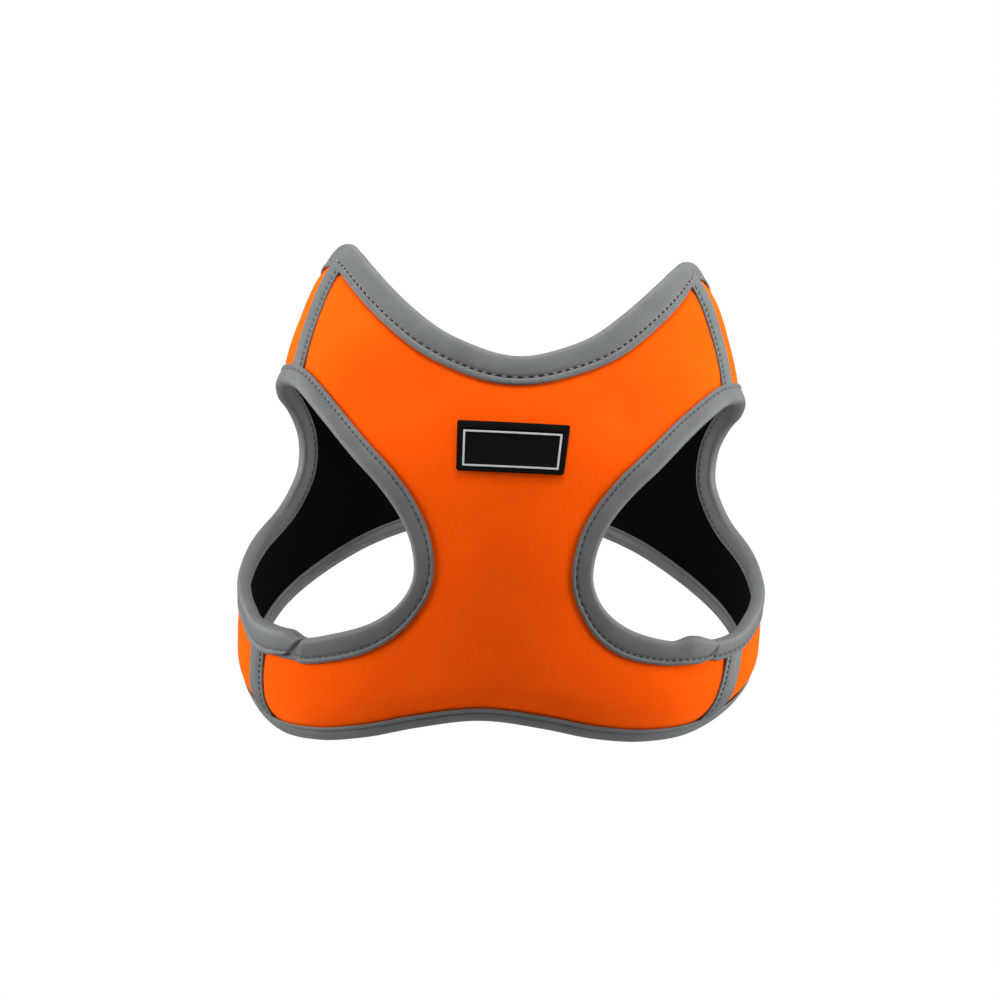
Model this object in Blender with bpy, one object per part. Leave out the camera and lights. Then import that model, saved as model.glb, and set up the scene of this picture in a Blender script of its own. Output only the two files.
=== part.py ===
"""Dog vest harness, filled out as if worn, neck up and chest to the front.

The frame is +X to the right as the chest is seen, +Y from the chest to the back and +Z from the
hem to the neck. Its origin is on the body's axis, level with the middle of the armholes.
Every piece lies on one body surface. A place on that surface is (turn, height): turn is the angle
round the body in degrees, 0 at the front centre, 90 at +X and 180 at the centre back, and height is
in millimetres. A piece's points are places on the surface, moved out or in along its normal.
"""
import bpy
import numpy as np

MM = 0.001

# ---------------------------------------------------------------- driving dimensions, mm and degrees
GAP = 0.3                 # air between sewn pieces
SEAM_GAP = 0.5            # air between the two panels along a seam
CLOTH = 2.0               # orange foam-backed knit
LINING = 0.8              # black inner knit
TAPE = 0.8                # grey tape, one layer
SKIN = GAP + 0.05         # height at which a piece lies on the cloth
BACK_OF_LINING = -(CLOTH + GAP + LINING)
CUT_BACK = 2.2            # the cloth's edge lies this far inside the fold of its binding

NECK_BINDING = 14.4       # width of the outer leaf of each binding
ARMHOLE_BINDING = 8.3
HEM_BINDING = 7.0
LIP = 2.4                 # flat stitched edge of a binding
PUFF = 1.9                # height of its rounded fold
# The neck binding narrows by a share over the +X shoulder, round a turn.
NARROW = dict(share=0.27, turn=86.0, across=12.0)
# The armhole bindings widen under the arm by a share, below a height and ahead of a turn.
WIDEN = dict(share=0.26, below=-42.0, over=12.0, ahead=72.0, across=14.0)
LAP = 1.3                 # thickness of a binding's end where it lies on its start
#            side, sign of x, from turn, to turn of the lap under the arm
LAPS = (("left",      -1,        50,        68),
        ("right",      1,        48,        61))
UNDER_ARM = -40.0         # the laps lie below this height

SEAM_TAPE = 8.0           # width of the flat tapes over the seams
UNDER = 0.7               # air between the lining and a binding's inner leaf
TAPE_END = 1.1            # distance from a tape's end to a binding's lip

# The body, a superellipse at each height.
#        height, half width, front depth, back depth, squareness
BODY = ((-105,     106.0,       69.0,        62.5,       2.40),
        (-80,      115.8,       72.0,        64.0,       2.40),
        (-60,      117.4,       72.0,        64.0,       2.40),
        (-40,      117.2,       71.2,        63.6,       2.40),
        (-20,      115.8,       70.0,        63.0,       2.40),
        (20,       109.5,       65.5,        61.0,       2.40),
        (50,       104.2,       57.0,        58.0,       2.35),
        (75,        97.9,       45.5,        54.0,       2.30),
        (100,       87.8,       32.0,        48.0,       2.20),
        (120,       70.8,       20.0,        40.0,       2.10))
CURL = 6.0                # the hem turns in by this much
CURL_FROM = 16.0          # over this height above its fold

# The pose: the neck end leans to +X and its -X shoulder sits higher. The hem's arch is turned to
# -X and the neckline's dip to +X.
#       height, sideways, roll, twist
POSE = ((-105,    -4.8,   -0.6,   -5.0),
        (-85,     -2.4,    0.1,   -4.0),
        (-55,     -0.4,    1.0,   -0.5),
        (0,        2.5,    1.7,    0.0),
        (35,       4.3,    2.2,    0.0),
        (62,       5.7,    2.6,    1.5),
        (85,       6.9,    2.9,    0.0),
        (115,      8.2,    3.3,   -1.0))

#        turn, height of the fold of the binding
NECK = ((0,     60.9), (20.5,  65.2), (36.1,  72.1), (48.9,  81.2), (59.4,  90.2), (68.9,  99.3),
        (76.2, 106.3), (82.3, 110.8), (89,   110.6), (99,   105.0), (118,   92.0), (140,   77.0),
        (160,   67.0), (180,   64.0))
HEM = ((0,     -90.5), (23,   -94.2), (39,   -98.8), (52,  -100.7), (64,   -98.6), (75,   -90.2),
       (88,    -75.5), (100,  -62.0), (108,  -50.0), (115,  -39.8), (126,  -26.2), (144,  -14.0),
       (163,    -8.5), (180,   -7.0))

# One armhole's fold, closed, from under the arm to the front, up to the shoulder and down the back.
#            turn, height, corner
ARMHOLE = ((67.0, -54.8, "side seam"),
           (58.0, -57.8, ""),
           (48.5, -57.0, ""),
           (38.6, -52.0, ""),
           (31.4, -43.5, "low front"),
           (28.0, -32.5, ""),
           (29.2, -20.0, ""),
           (33.4,  -8.0, ""),
           (40.0,   3.8, ""),
           (48.0,  15.0, "high front"),
           (58.1,  29.1, ""),
           (66.8,  40.1, ""),
           (72.5,  45.2, "shoulder seam"),
           (79.2,  47.0, ""),
           (85.8,  45.6, ""),
           (93.0,  42.0, ""),
           (100.5, 37.4, ""),
           (105.8, 28.5, "high back"),
           (108.2, 17.0, "low back"),
           (107.9,  6.0, ""),
           (104.2, -8.0, ""),
           (96.6, -20.0, ""),
           (88.5, -30.5, ""),
           (80.0, -39.5, ""),
           (73.5, -47.0, ""))

# The seams, as lines through two places (height, turn), and their turns at the neck and the hem.
SHOULDER_SEAM = ((45.0, 72.3), (95.0, 79.0))
SIDE_SEAM = ((-95.0, 66.8), (-59.8, 67.2))
AT_NECK = 81.0
AT_HEM = 66.8

# Rays run from the outline to the armhole. One row for each stretch of a panel's outline.
#         panel,   outline,  from turn, to turn, from corner,     to corner,     rays
RAYS = (("front", "hem",     AT_HEM,      0.0,  "side seam",     "low front",     15),
        ("front", "centre",     0.0,      0.0,  "low front",     "high front",     8),
        ("front", "neck",       0.0,  AT_NECK,  "high front",    "shoulder seam",  9),
        ("back",  "neck",   AT_NECK,    180.0,  "shoulder seam", "high back",     12),
        ("back",  "centre",   180.0,    180.0,  "high back",     "low back",       6),
        ("back",  "hem",      180.0,   AT_HEM,  "low back",      "side seam",     21))
INNER_RINGS = 2           # rings between the bindings
CLEAR = 0.5               # distance from a binding's lip to the next ring
#            fold, side of the cloth, width of the binding
EDGES = dict(hem=(HEM, 1, HEM_BINDING),
             neck=(NECK, -1, NECK_BINDING))

# The patch is widest at its top edge and leans to +X. Its border is raised over the field, with a
# slope between, and is wider above the field than below it.
PATCH = dict(turn=1.8, height=21.6, width=45.0, tall=20.4, taper=0.03, lean=0.035, thick=1.5,
             border=0.5, sides=2.0, above=3.0, below=1.0, slope=0.4)
FRAME_LINE = dict(width=39.8, tall=14.8, line=0.8, thick=0.35)

# The lead's ring and its tab, at the centre back.
RING = dict(height=24.0, inside=22.0, wire=1.7, corner=3.0, drop=3.0, lift=2.6, tilt=7.0)
TAB = dict(width=20.0, up=19.0, down=14.0, thick=1.5)
RING_SIDES = 8

#             colour (linear), roughness, metallic
COLOURS = dict(
    orange=((0.90, 0.135, 0.008), 0.85, 0.0),
    black_knit=((0.004, 0.004, 0.004), 0.95, 0.0),
    grey_tape=((0.20, 0.215, 0.215), 0.55, 0.0),
    rubber=((0.006, 0.006, 0.006), 0.5, 0.0),
    pale_rubber=((0.60, 0.62, 0.62), 0.5, 0.0),
    webbing=((0.008, 0.008, 0.008), 0.8, 0.0),
    steel=((0.62, 0.62, 0.61), 0.28, 1.0))


# ---------------------------------------------------------------------------- the body surface
def smooth(knots, values, at):
    """A cubic through (knots, values), with straight ends."""
    knots = np.asarray(knots, float)
    values = np.asarray(values, float)
    slopes = np.gradient(values, knots, axis=0)
    at = np.asarray(at, float)
    i = np.clip(np.searchsorted(knots, at, side="right") - 1, 0, len(knots) - 2)
    span = knots[i + 1] - knots[i]
    t = np.clip((at - knots[i]) / span, 0, 1)
    over = (at - knots[i]) - t * span
    if values.ndim > 1:
        span, t, over = span[..., None], t[..., None], over[..., None]
    rise = values[i + 1] - values[i]
    bend = slopes[i] * span - rise
    far = slopes[i + 1] * span - rise
    curve = values[i] + t * rise + t * (1 - t) * ((1 - t) * bend - t * far)
    end = np.where(over > 0, slopes[i + 1], slopes[i])
    return curve + over * end


def mirrored(rows):
    """Rows of (turn, height), carried past 0 and 180 so that the curve is level there."""
    rows = np.array(rows, float)
    before = rows[1:3][::-1] * (-1, 1)
    after = rows[-3:-1][::-1] * (-1, 1) + (360, 0)
    return np.vstack([before, rows, after])


def edge_height(rows, turn):
    """The height of the neck or the hem at a turn."""
    rows = mirrored(rows)
    turn = np.abs((np.asarray(turn, float) + 180) % 360 - 180)
    return smooth(rows[:, 0], rows[:, 1], turn)


def cut_point(place):
    """The surface as cut and sewn, before the pose."""
    turn, height = np.asarray(place, float).T
    rows = np.array(BODY)
    wide, front, back, square = smooth(rows[:, 0], rows[:, 1:], height).T
    side, ahead = np.sin(np.radians(turn)), np.cos(np.radians(turn))
    deep = np.where(ahead > 0, front, back)
    reach = (np.abs(side / wide) ** square + np.abs(ahead / deep) ** square) ** (-1 / square)
    near_hem = np.clip(1 - (height - edge_height(HEM, turn)) / CURL_FROM, 0, 1.5)
    reach = reach - CURL * near_hem ** 2
    return np.stack([reach * side, -reach * ahead, height], -1)


def posed(point):
    """A point of the cut vest, leant and rolled into the pose."""
    rows = np.array(POSE)
    x, y, z = point.T
    sideways, roll, twist = smooth(rows[:, 0], rows[:, 1:], z).T
    roll, twist = np.radians(roll), np.radians(twist)
    turned = x * np.cos(twist) - y * np.sin(twist)
    return np.stack([turned + sideways,
                     x * np.sin(twist) + y * np.cos(twist),
                     z - turned * np.tan(roll)], -1)


def unit(vectors):
    return vectors / np.linalg.norm(vectors, axis=-1, keepdims=True)


def directions(place, shape):
    """Derivatives of a surface by turn and by height, and its outward normal."""
    place = np.asarray(place, float)
    step = np.array((0.2, 0.0)), np.array((0.0, 0.4))
    by_turn = (shape(place + step[0]) - shape(place - step[0])) / 0.4
    by_height = (shape(place + step[1]) - shape(place - step[1])) / 0.8
    return by_turn, by_height, unit(np.cross(by_turn, by_height))


def vest_point(place):
    return posed(cut_point(place))


def lifted(place, lift):
    """Places moved out along the posed surface's normal, as points in mm."""
    normal = directions(place, vest_point)[2]
    return vest_point(place) + normal * np.asarray(lift, float)[..., None]


def across(path, closed=True):
    """Unit vectors on the cut surface, square to a path and to the left of its run, from outside."""
    points = cut_point(path)
    if closed:
        run = np.roll(points, -1, 0) - np.roll(points, 1, 0)
    else:
        run = np.gradient(points, axis=0)
    normal = directions(path, cut_point)[2]
    return unit(np.cross(normal, run))


def slid(path, distance, closed=True):
    """A path's places moved sideways by a distance in mm, along the cut surface."""
    by_turn, by_height, _ = directions(path, cut_point)
    move = across(path, closed) * np.broadcast_to(distance, len(path))[:, None]
    tt, th, hh = [(a * b).sum(-1) for a, b in
                  ((by_turn, by_turn), (by_turn, by_height), (by_height, by_height))]
    mt, mh = (move * by_turn).sum(-1), (move * by_height).sum(-1)
    square = tt * hh - th * th
    shift = np.stack([(mt * hh - mh * th) / square, (mh * tt - mt * th) / square], -1)
    return np.asarray(path, float) + shift


def evenly(path, count):
    """A path of places with count + 1 stations at equal steps along the surface."""
    steps = np.linalg.norm(np.diff(cut_point(path), axis=0), axis=1)
    along = np.r_[0, np.cumsum(steps)]
    at = np.linspace(0, along[-1], count + 1)
    return np.stack([np.interp(at, along, column) for column in np.asarray(path).T], -1)


# ------------------------------------------------------------------------------- the pattern
def armhole_stretch(start, end, count):
    """Stations on the armhole's fold between two of its named corners."""
    corners = [row[2] for row in ARMHOLE]
    first, last = corners.index(start), corners.index(end)
    if last <= first:
        last += len(ARMHOLE)
    rows = np.array([row[:2] for row in ARMHOLE])
    wrapped = np.vstack([rows] * 3)
    knots = np.arange(len(wrapped)) - len(rows)
    fine = smooth(knots, wrapped, np.linspace(first, last, 40 * (last - first) + 1))
    return evenly(fine, count)


def into_cloth(edge, turns, distance):
    """Places at a distance into the cloth from the fold of the neck or the hem."""
    rows, sign, _ = EDGES[edge]
    lines = np.asarray(turns, float)[:, None] + np.array((-0.5, 0.0, 0.5))
    return np.array([slid(np.stack([line, edge_height(rows, line)], -1), sign * far, False)[1]
                     for line, far in zip(lines, np.broadcast_to(distance, len(lines)))])


def outline_stretch(edge, start, end, count):
    """Stations on the fold of the neck or the hem, or on a centre line between their bindings."""
    if edge == "centre":
        ends = [into_cloth(name, [start], EDGES[name][2] + CLEAR)[0] for name in ("hem", "neck")]
        fine = np.array(ends if start < 90 else ends[::-1])
        fine[:, 0] = start
        return evenly(fine, count)
    rows = EDGES[edge][0]
    turns = np.linspace(start, end, 400)
    stations = evenly(np.stack([turns, edge_height(rows, turns)], -1), count)
    stations[:, 1] = edge_height(rows, stations[:, 0])
    return stations


def seam_turn(seam, height):
    (low, turn_low), (high, turn_high) = seam
    return turn_low + (turn_high - turn_low) * (np.asarray(height) - low) / (high - low)


def seam_gap(place):
    """Half the gap between two panels, in degrees of turn."""
    by_turn = directions(place, cut_point)[0]
    return SEAM_GAP / 2 / np.linalg.norm(by_turn, axis=-1)


def binding_spread(path):
    """The armhole bindings widen under the arm."""
    turn, height = np.asarray(path, float).T
    low = np.clip((WIDEN["below"] - height) / WIDEN["over"], 0, 1)
    ahead = np.clip((WIDEN["ahead"] - turn) / WIDEN["across"], 0, 1)
    return 1 + WIDEN["share"] * low * ahead


def neck_spread(turn):
    """The neck binding narrows over the +X shoulder."""
    return 1 - NARROW["share"] * np.exp(-((turn - NARROW["turn"]) / NARROW["across"]) ** 2)


def half_pattern():
    """The stations of one half: the fold of the armhole, and the outline that each ray starts from."""
    rays = []
    for panel, edge, start, end, corner, next_corner, count in RAYS:
        fold = armhole_stretch(corner, next_corner, count)
        outline = outline_stretch(edge, start, end, count)
        rays += [(panel, edge, fold[i], outline[i]) for i in range(count)]
    return rays


def edge_loop(edge, rays):
    """The stations of the neck or the hem all round, in order of turn."""
    rows, _, _ = EDGES[edge]
    turns = {round(float(outline[0]), 6) for _, kind, _, outline in rays if kind == edge}
    turns = sorted(turns | {0.0, 180.0})
    loop = [-turn for turn in turns[::-1] if 0 < turn < 180] + turns
    return np.stack([loop, edge_height(rows, loop)], -1)


def end_on_seam(grid, row, seam, away):
    """The first or last row of a grid, moved along the rings to a seam, less half the gap."""
    ends, inner = grid[row], grid[1 if row == 0 else -2]
    turn = seam_turn(seam, ends[:, 1]) + away * seam_gap(ends)
    share = (turn - ends[:, 0]) / (inner[:, 0] - ends[:, 0])
    grid[row] = ends + (inner - ends) * share[:, None]


def half_panel(panel, rays):
    """Grids of places that cover one half of a panel.

    A border strip runs along the neck and along the hem, under their bindings. Rays fill the rest,
    from those strips and the centre line to the armhole, with two rings under its binding.
    """
    fold = np.array([ray[2] for ray in rays])
    near = slid(fold, CUT_BACK)
    clear = slid(fold, ARMHOLE_BINDING * binding_spread(fold) + CLEAR)
    picked = [i for i, ray in enumerate(rays) if ray[0] == panel]
    picked.append((picked[-1] + 1) % len(rays))
    start = np.array([rays[i][3] for i in picked])
    edges = [rays[i][1] for i in picked]
    strips = []
    for edge, (_, _, width) in EDGES.items():
        on = [k for k, name in enumerate(edges) if name == edge]
        turns = start[on, 0]
        start[on] = into_cloth(edge, turns, width + CLEAR)
        if edge == "hem" and panel == "front" or edge == "neck" and panel == "back":
            corner = on[-1] + 1
            turns = np.append(turns, start[corner, 0])
            on.append(corner)
        strips.append(np.stack([into_cloth(edge, turns, CUT_BACK), start[on]], 1))
    inner, outer = clear[picked], near[picked]
    middle = [start + (inner - start) * k / (INNER_RINGS + 1) for k in range(1, INNER_RINGS + 1)]
    rings = np.stack([start] + middle + [inner, outer], 1)
    away = -1 if panel == "front" else 1
    first, last = (SIDE_SEAM, SHOULDER_SEAM) if panel == "front" else (SHOULDER_SEAM, SIDE_SEAM)
    end_on_seam(rings, 0, first, away)
    end_on_seam(rings, -1, last, away)
    hem, neck = strips
    end_on_seam(hem, 0 if panel == "front" else -1, SIDE_SEAM, away)
    end_on_seam(neck, -1 if panel == "front" else 0, SHOULDER_SEAM, away)
    return [rings, hem, neck]


# ------------------------------------------------------------------------- solids from places
def material(name):
    """The Principled material of one of the colours."""
    found = bpy.data.materials.get(name)
    if found:
        return found
    colour, rough, metal = COLOURS[name]
    made = bpy.data.materials.new(name)
    made.use_nodes = True
    shader = made.node_tree.nodes["Principled BSDF"]
    shader.inputs["Base Color"].default_value = (*colour, 1)
    shader.inputs["Roughness"].default_value = rough
    shader.inputs["Metallic"].default_value = metal
    made.diffuse_color = (*colour, 1)
    return made


def solid(name, points, faces, colour):
    """An object from points in mm and outward faces, turned right side out."""
    points = np.asarray(points, float)
    volume = 0.0
    for face in faces:
        for k in range(1, len(face) - 1):
            a, b, c = points[face[0]], points[face[k]], points[face[k + 1]]
            volume += np.dot(a, np.cross(b, c))
    if volume < 0:
        faces = [face[::-1] for face in faces]
    mesh = bpy.data.meshes.new(name)
    mesh.from_pydata((points * MM).tolist(), [], [tuple(int(i) for i in face) for face in faces])
    mesh.validate()
    mesh.shade_smooth()
    mesh.set_sharp_from_angle(angle=np.radians(40))
    mesh.materials.append(material(colour))
    made = bpy.data.objects.new(name, mesh)
    bpy.context.scene.collection.objects.link(made)
    return made


def grid_sheet(grids):
    """Places and triangles of one or more grids of places, merged where they meet."""
    found, places, faces = {}, [], []

    def index(place):
        turn = 180.0 if abs(abs(place[0]) - 180) < 1e-5 else float(place[0])
        key = (round(turn, 5), round(float(place[1]), 5))
        if key not in found:
            found[key] = len(places)
            places.append(key)
        return found[key]

    for grid in grids:
        number = [[index(place) for place in row] for row in grid]
        for row, following in zip(number, number[1:]):
            for a, b, c, d in zip(row, row[1:], following[1:], following):
                faces += [tri for tri in ((a, b, c), (a, c, d)) if len(set(tri)) == 3]
    return np.array(places), faces


def thick(name, sheet, top, bottom, colour):
    """A closed solid between two heights over a sheet of places."""
    places, faces = sheet
    count = len(places)
    points = np.vstack([lifted(places, np.broadcast_to(top, count)),
                        lifted(places, np.broadcast_to(bottom, count))])
    runs = {(a, b) for face in faces for a, b in zip(face, face[1:] + face[:1])}
    rim = [(a, b) for a, b in runs if (b, a) not in runs]
    under = [tuple(i + count for i in face[::-1]) for face in faces]
    walls = [(b, a, a + count, b + count) for a, b in sorted(rim)]
    return solid(name, points, list(faces) + under + walls, colour)


def tube_faces(stations, sides, closed):
    """Faces of a grid of rings, each of so many sides, with caps if it is open."""
    faces = []
    for i in range(stations if closed else stations - 1):
        j = (i + 1) % stations
        for k in range(sides):
            m = (k + 1) % sides
            faces.append((i * sides + k, j * sides + k, j * sides + m, i * sides + m))
    if not closed:
        faces.append(tuple(range(sides)))
        faces.append(tuple((stations - 1) * sides + k for k in range(sides))[::-1])
    return faces


# -------------------------------------------------------------------------------- the pieces
def panels(rays):
    """Chest and back panels and their linings, each one piece with its two halves joined."""
    for name, which in (("chest", "front"), ("back", "back")):
        half = half_panel(which, rays)
        other = [grid[::-1] * (-1, 1) for grid in half]
        sheet = grid_sheet(half + other)
        thick(f"{name}_panel", sheet, 0.0, -CLOTH, "orange")
        thick(f"{name}_lining", sheet, -(CLOTH + GAP), BACK_OF_LINING, "black_knit")


def binding_profile(width):
    """A folded tape round an edge, as (across, lift) from its fold inward. Its start is the lip."""
    skin, under = SKIN, BACK_OF_LINING - UNDER
    inside = CUT_BACK - GAP - 0.05
    groove = width - LIP
    return np.array(((width, skin), (width, skin + TAPE), (groove, skin + 0.6 * TAPE),
                     (groove - 1.4, PUFF), (1.6, PUFF - 0.1), (0.0, -0.8), (0.5, under - 0.4),
                     (2.4, under - 1.1), (0.8 * width, under - TAPE), (0.8 * width, under),
                     (inside, under), (inside, skin)))


def binding(name, path, width, side, spread=1.0, lap=0.0):
    """A binding round a closed path of places, its cloth on the given side."""
    profile = binding_profile(width)
    spread = np.broadcast_to(spread, len(path))
    lap = np.broadcast_to(lap, len(path))
    rings = []
    for reach, lift in profile:
        wide = reach * (spread if reach > CUT_BACK else 1.0)
        place = slid(path, side * wide)
        rings.append(lifted(place, lift + (lap if lift > SKIN else 0.0)))
    points = np.stack(rings, 1).reshape(-1, 3)
    return solid(name, points, tube_faces(len(path), len(profile), True), "grey_tape")


def armhole_bindings(rays):
    """Both armhole bindings. Under each arm the binding's end lies on its start, as a lap."""
    fold = np.array([ray[2] for ray in rays])
    turn, height = fold.T
    for name, sign, lap_from, lap_to in LAPS:
        lap = np.where((height < UNDER_ARM) & (turn > lap_from) & (turn < lap_to), LAP, 0.0)
        path = fold * (sign, 1)
        binding(f"armhole_binding_{name}", path, ARMHOLE_BINDING, sign, binding_spread(fold), lap)


def lip_height(path, turn):
    """The height at which a path of places crosses a turn."""
    order = np.argsort(path[:, 0])
    return np.interp(turn, path[order, 0], path[order, 1])


def end_height(seam, path, aside):
    """The height at which a line beside a seam, by so many degrees, meets a path of places."""
    height = path[:, 1].mean()
    for _ in range(8):
        height = lip_height(path, seam_turn(seam, height) + aside)
    return height


def seam_tapes(rays):
    """Flat tapes over the shoulder and side seams, between the lips of the bindings."""
    fold = np.array([ray[2] for ray in rays])
    lip = slid(fold, (ARMHOLE_BINDING * binding_spread(fold)) + TAPE_END)
    turns = np.linspace(50, 95, 46)
    for name, seam, end in (("shoulder", SHOULDER_SEAM, "neck"), ("side", SIDE_SEAM, "hem")):
        near = lip[lip[:, 1] > 20] if name == "shoulder" else lip[lip[:, 1] < -45]
        degree = np.linalg.norm(directions(np.array([seam[0][::-1]]), cut_point)[0])
        for side, mirror in (("left", -1), ("right", 1)):
            share = neck_spread(mirror * turns) if end == "neck" else 1.0
            edge = into_cloth(end, turns, EDGES[end][2] * share + TAPE_END)
            grid = []
            for offset in np.array((-0.5, 0.0, 0.5)) * SEAM_TAPE / degree:
                heights = np.linspace(end_height(seam, near, offset), end_height(seam, edge, offset), 9)
                grid.append(np.stack([seam_turn(seam, heights) + offset, heights], -1))
            sheet = grid_sheet([np.array(grid) * (mirror, 1)])
            thick(f"{name}_tape_{side}", sheet, SKIN + TAPE, SKIN, "grey_tape")


def patch_grid(columns, rows):
    """Places of a grid in mm, across and up from the patch's middle, narrower towards its foot."""
    middle = np.array((PATCH["turn"], PATCH["height"]))
    across_it = np.array(columns, float)[:, None] * (1 + PATCH["taper"] * np.array(rows) / PATCH["tall"])
    across_it = across_it + PATCH["lean"] * np.array(rows)
    level = middle + np.stack([np.zeros(len(rows)), rows], -1)
    degree = np.linalg.norm(directions(level, cut_point)[0], axis=-1)
    up = np.broadcast_to(rows, across_it.shape)
    return middle + np.stack([across_it / degree, up], -1)


def patch():
    """The rubber patch with its raised border, and the thin frame line raised on its field."""
    half, tall, slope = PATCH["width"] / 2, PATCH["tall"] / 2, PATCH["slope"]
    side, top_side, foot_side = half - PATCH["sides"], tall - PATCH["above"], PATCH["below"] - tall
    middle, third = (top_side + foot_side) / 2, half / 3
    columns = [-half, -side, slope - side, -third, third, side - slope, side, half]
    rows = [-tall, foot_side, foot_side + slope, middle, top_side - slope, top_side, tall]
    field = SKIN + PATCH["thick"]
    top = np.full((len(columns), len(rows)), field + PATCH["border"])
    top[2:-2, 2:-2] = field
    thick("patch", grid_sheet([patch_grid(columns, rows)]), top.reshape(-1), SKIN, "rubber")
    wide, high, line = FRAME_LINE["width"] / 2, FRAME_LINE["tall"] / 2, FRAME_LINE["line"]
    columns = [-wide, line - wide, -third, third, wide - line, wide]
    rows = [middle + z for z in (-high, line - high, 0, high - line, high)]
    places, faces = grid_sheet([patch_grid(columns, rows)])
    inside = {i * len(rows) + j for i in range(1, len(columns) - 1) for j in range(1, len(rows) - 1)}
    cells = [(faces[2 * k], faces[2 * k + 1]) for k in range(len(faces) // 2)]
    kept = [tri for pair in cells for tri in pair if not set(pair[0] + pair[1]) <= inside]
    under = field + GAP
    thick("patch_frame", (places, kept), under + FRAME_LINE["thick"], under, "pale_rubber")


def ring_frame():
    """The ring's bar: its middle in mm, and the directions along it, out and down the back."""
    place = np.array([(180.0, RING["height"])])
    by_turn, _, normal = directions(place, vest_point)
    middle = vest_point(place)[0] + normal[0] * RING["lift"]
    along = -unit(by_turn)[0]
    return middle, along, normal[0], np.cross(along, normal[0])


def lead_tab():
    """A webbing tab sewn on above and below the ring's bar, arched over it."""
    lift, over = RING["lift"], SKIN + TAB["thick"]
    up, down = TAB["up"], -TAB["down"]
    #        up from the bar, height over the cloth
    arch = ((down, SKIN), (-6.0, SKIN), (-2.0, lift + 0.9), (-1.2, lift + 1.85), (0.0, lift + 2.2),
            (1.2, lift + 1.85), (2.0, lift + 0.9), (6.0, SKIN), (up, SKIN),
            (up, over), (6.8, over), (3.2, lift + 1.8), (1.8, lift + 3.3), (0.0, lift + 3.8),
            (-1.8, lift + 3.3), (-3.2, lift + 1.8), (-6.8, over), (down, over))
    degree = np.linalg.norm(directions(np.array([(180.0, RING["height"])]), cut_point)[0])
    rings = []
    for x in np.linspace(-TAB["width"] / 2, TAB["width"] / 2, 5):
        places = np.array([(180.0 - x / degree, RING["height"] + rise) for rise, _ in arch])
        rings.append(lifted(places, [height for _, height in arch]))
    points = np.concatenate(rings)
    solid("lead_tab", points, tube_faces(5, len(arch), False), "webbing")


def lead_ring():
    """A D-ring: a straight bar in the tab and a round bow, hanging down the back."""
    half, corner = RING["inside"] / 2 + RING["wire"], RING["corner"]
    path = [(x, 0.0) for x in np.linspace(-half + corner, half - corner, 5)]
    for angle in np.linspace(0, 90, 4)[1:]:
        path.append((half - corner + corner * np.sin(np.radians(angle)),
                     -corner + corner * np.cos(np.radians(angle))))
    for angle in np.linspace(0, 180, 15):
        path.append((half * np.cos(np.radians(angle)),
                     -(corner + RING["drop"]) - half * np.sin(np.radians(angle))))
    for angle in np.linspace(90, 0, 4)[:-1]:
        path.append((-(half - corner + corner * np.sin(np.radians(angle))),
                     -corner + corner * np.cos(np.radians(angle))))
    path = np.array(path)
    middle, along, out, up = ring_frame()
    tilt = np.radians(RING["tilt"])
    rise = up * np.cos(tilt) - out * np.sin(tilt)
    face = np.cross(along, rise)
    centre = path[:, :1] * along + path[:, 1:] * rise
    run = unit(np.roll(centre, -1, 0) - np.roll(centre, 1, 0))
    outward = np.cross(run, face)
    angles = np.linspace(0, 2 * np.pi, RING_SIDES, endpoint=False)
    points = [c + RING["wire"] * (np.cos(a) * o + np.sin(a) * face)
              for c, o in zip(centre, outward) for a in angles]
    made = solid("lead_ring", points, tube_faces(len(path), RING_SIDES, True), "steel")
    made.location = tuple(middle * MM)


def main():
    for thing in list(bpy.data.objects):
        bpy.data.objects.remove(thing, do_unlink=True)
    rays = half_pattern()
    panels(rays)
    neck = edge_loop("neck", rays)
    binding("neck_binding", neck, NECK_BINDING, -1, neck_spread(neck[:, 0]))
    binding("hem_binding", edge_loop("hem", rays), HEM_BINDING, 1)
    armhole_bindings(rays)
    seam_tapes(rays)
    patch()
    lead_tab()
    lead_ring()


main()
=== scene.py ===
"""Dresses the solids of a dog vest harness, which stands filled out as if worn.

Every cloth piece lies on one body surface, the surface its solids were cut on. A place on it is
(turn, height): turn is the angle round the body in degrees, 0 at the front centre, 90 at +X and 180
at the centre back, and height is in millimetres. A piece's points are places, moved out or in along
the surface's normal. Lengths in this file are in millimetres, and in metres where Blender needs them.
"""

import bpy
import numpy as np
from bpy.props import FloatProperty, FloatVectorProperty, PointerProperty
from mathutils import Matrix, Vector
from mathutils.kdtree import KDTree


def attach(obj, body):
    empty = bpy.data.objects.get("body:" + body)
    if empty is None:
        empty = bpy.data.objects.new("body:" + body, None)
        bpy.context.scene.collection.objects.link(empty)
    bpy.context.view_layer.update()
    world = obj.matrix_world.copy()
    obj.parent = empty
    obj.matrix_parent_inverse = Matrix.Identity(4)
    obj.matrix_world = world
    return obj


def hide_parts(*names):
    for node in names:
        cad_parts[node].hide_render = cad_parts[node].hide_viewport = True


bl_info = {
    "name": "Dog vest harness",
    "version": (1, 0, 0),
    "blender": (4, 5, 0),
    "location": "3D View > Sidebar > Vest",
    "description": "Knit, bindings, stitching, patch and lead ring of a dog vest harness",
    "category": "Object",
}

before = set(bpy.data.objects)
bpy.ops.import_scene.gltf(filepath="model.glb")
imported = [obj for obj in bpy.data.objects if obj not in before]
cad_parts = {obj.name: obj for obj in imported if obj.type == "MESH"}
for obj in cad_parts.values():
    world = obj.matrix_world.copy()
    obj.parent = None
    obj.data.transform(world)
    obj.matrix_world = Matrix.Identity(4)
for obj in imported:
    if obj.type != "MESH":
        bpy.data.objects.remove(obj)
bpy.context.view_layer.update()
MM = 0.001
VEST, RING_BODY = "vest", "ring"


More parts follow.
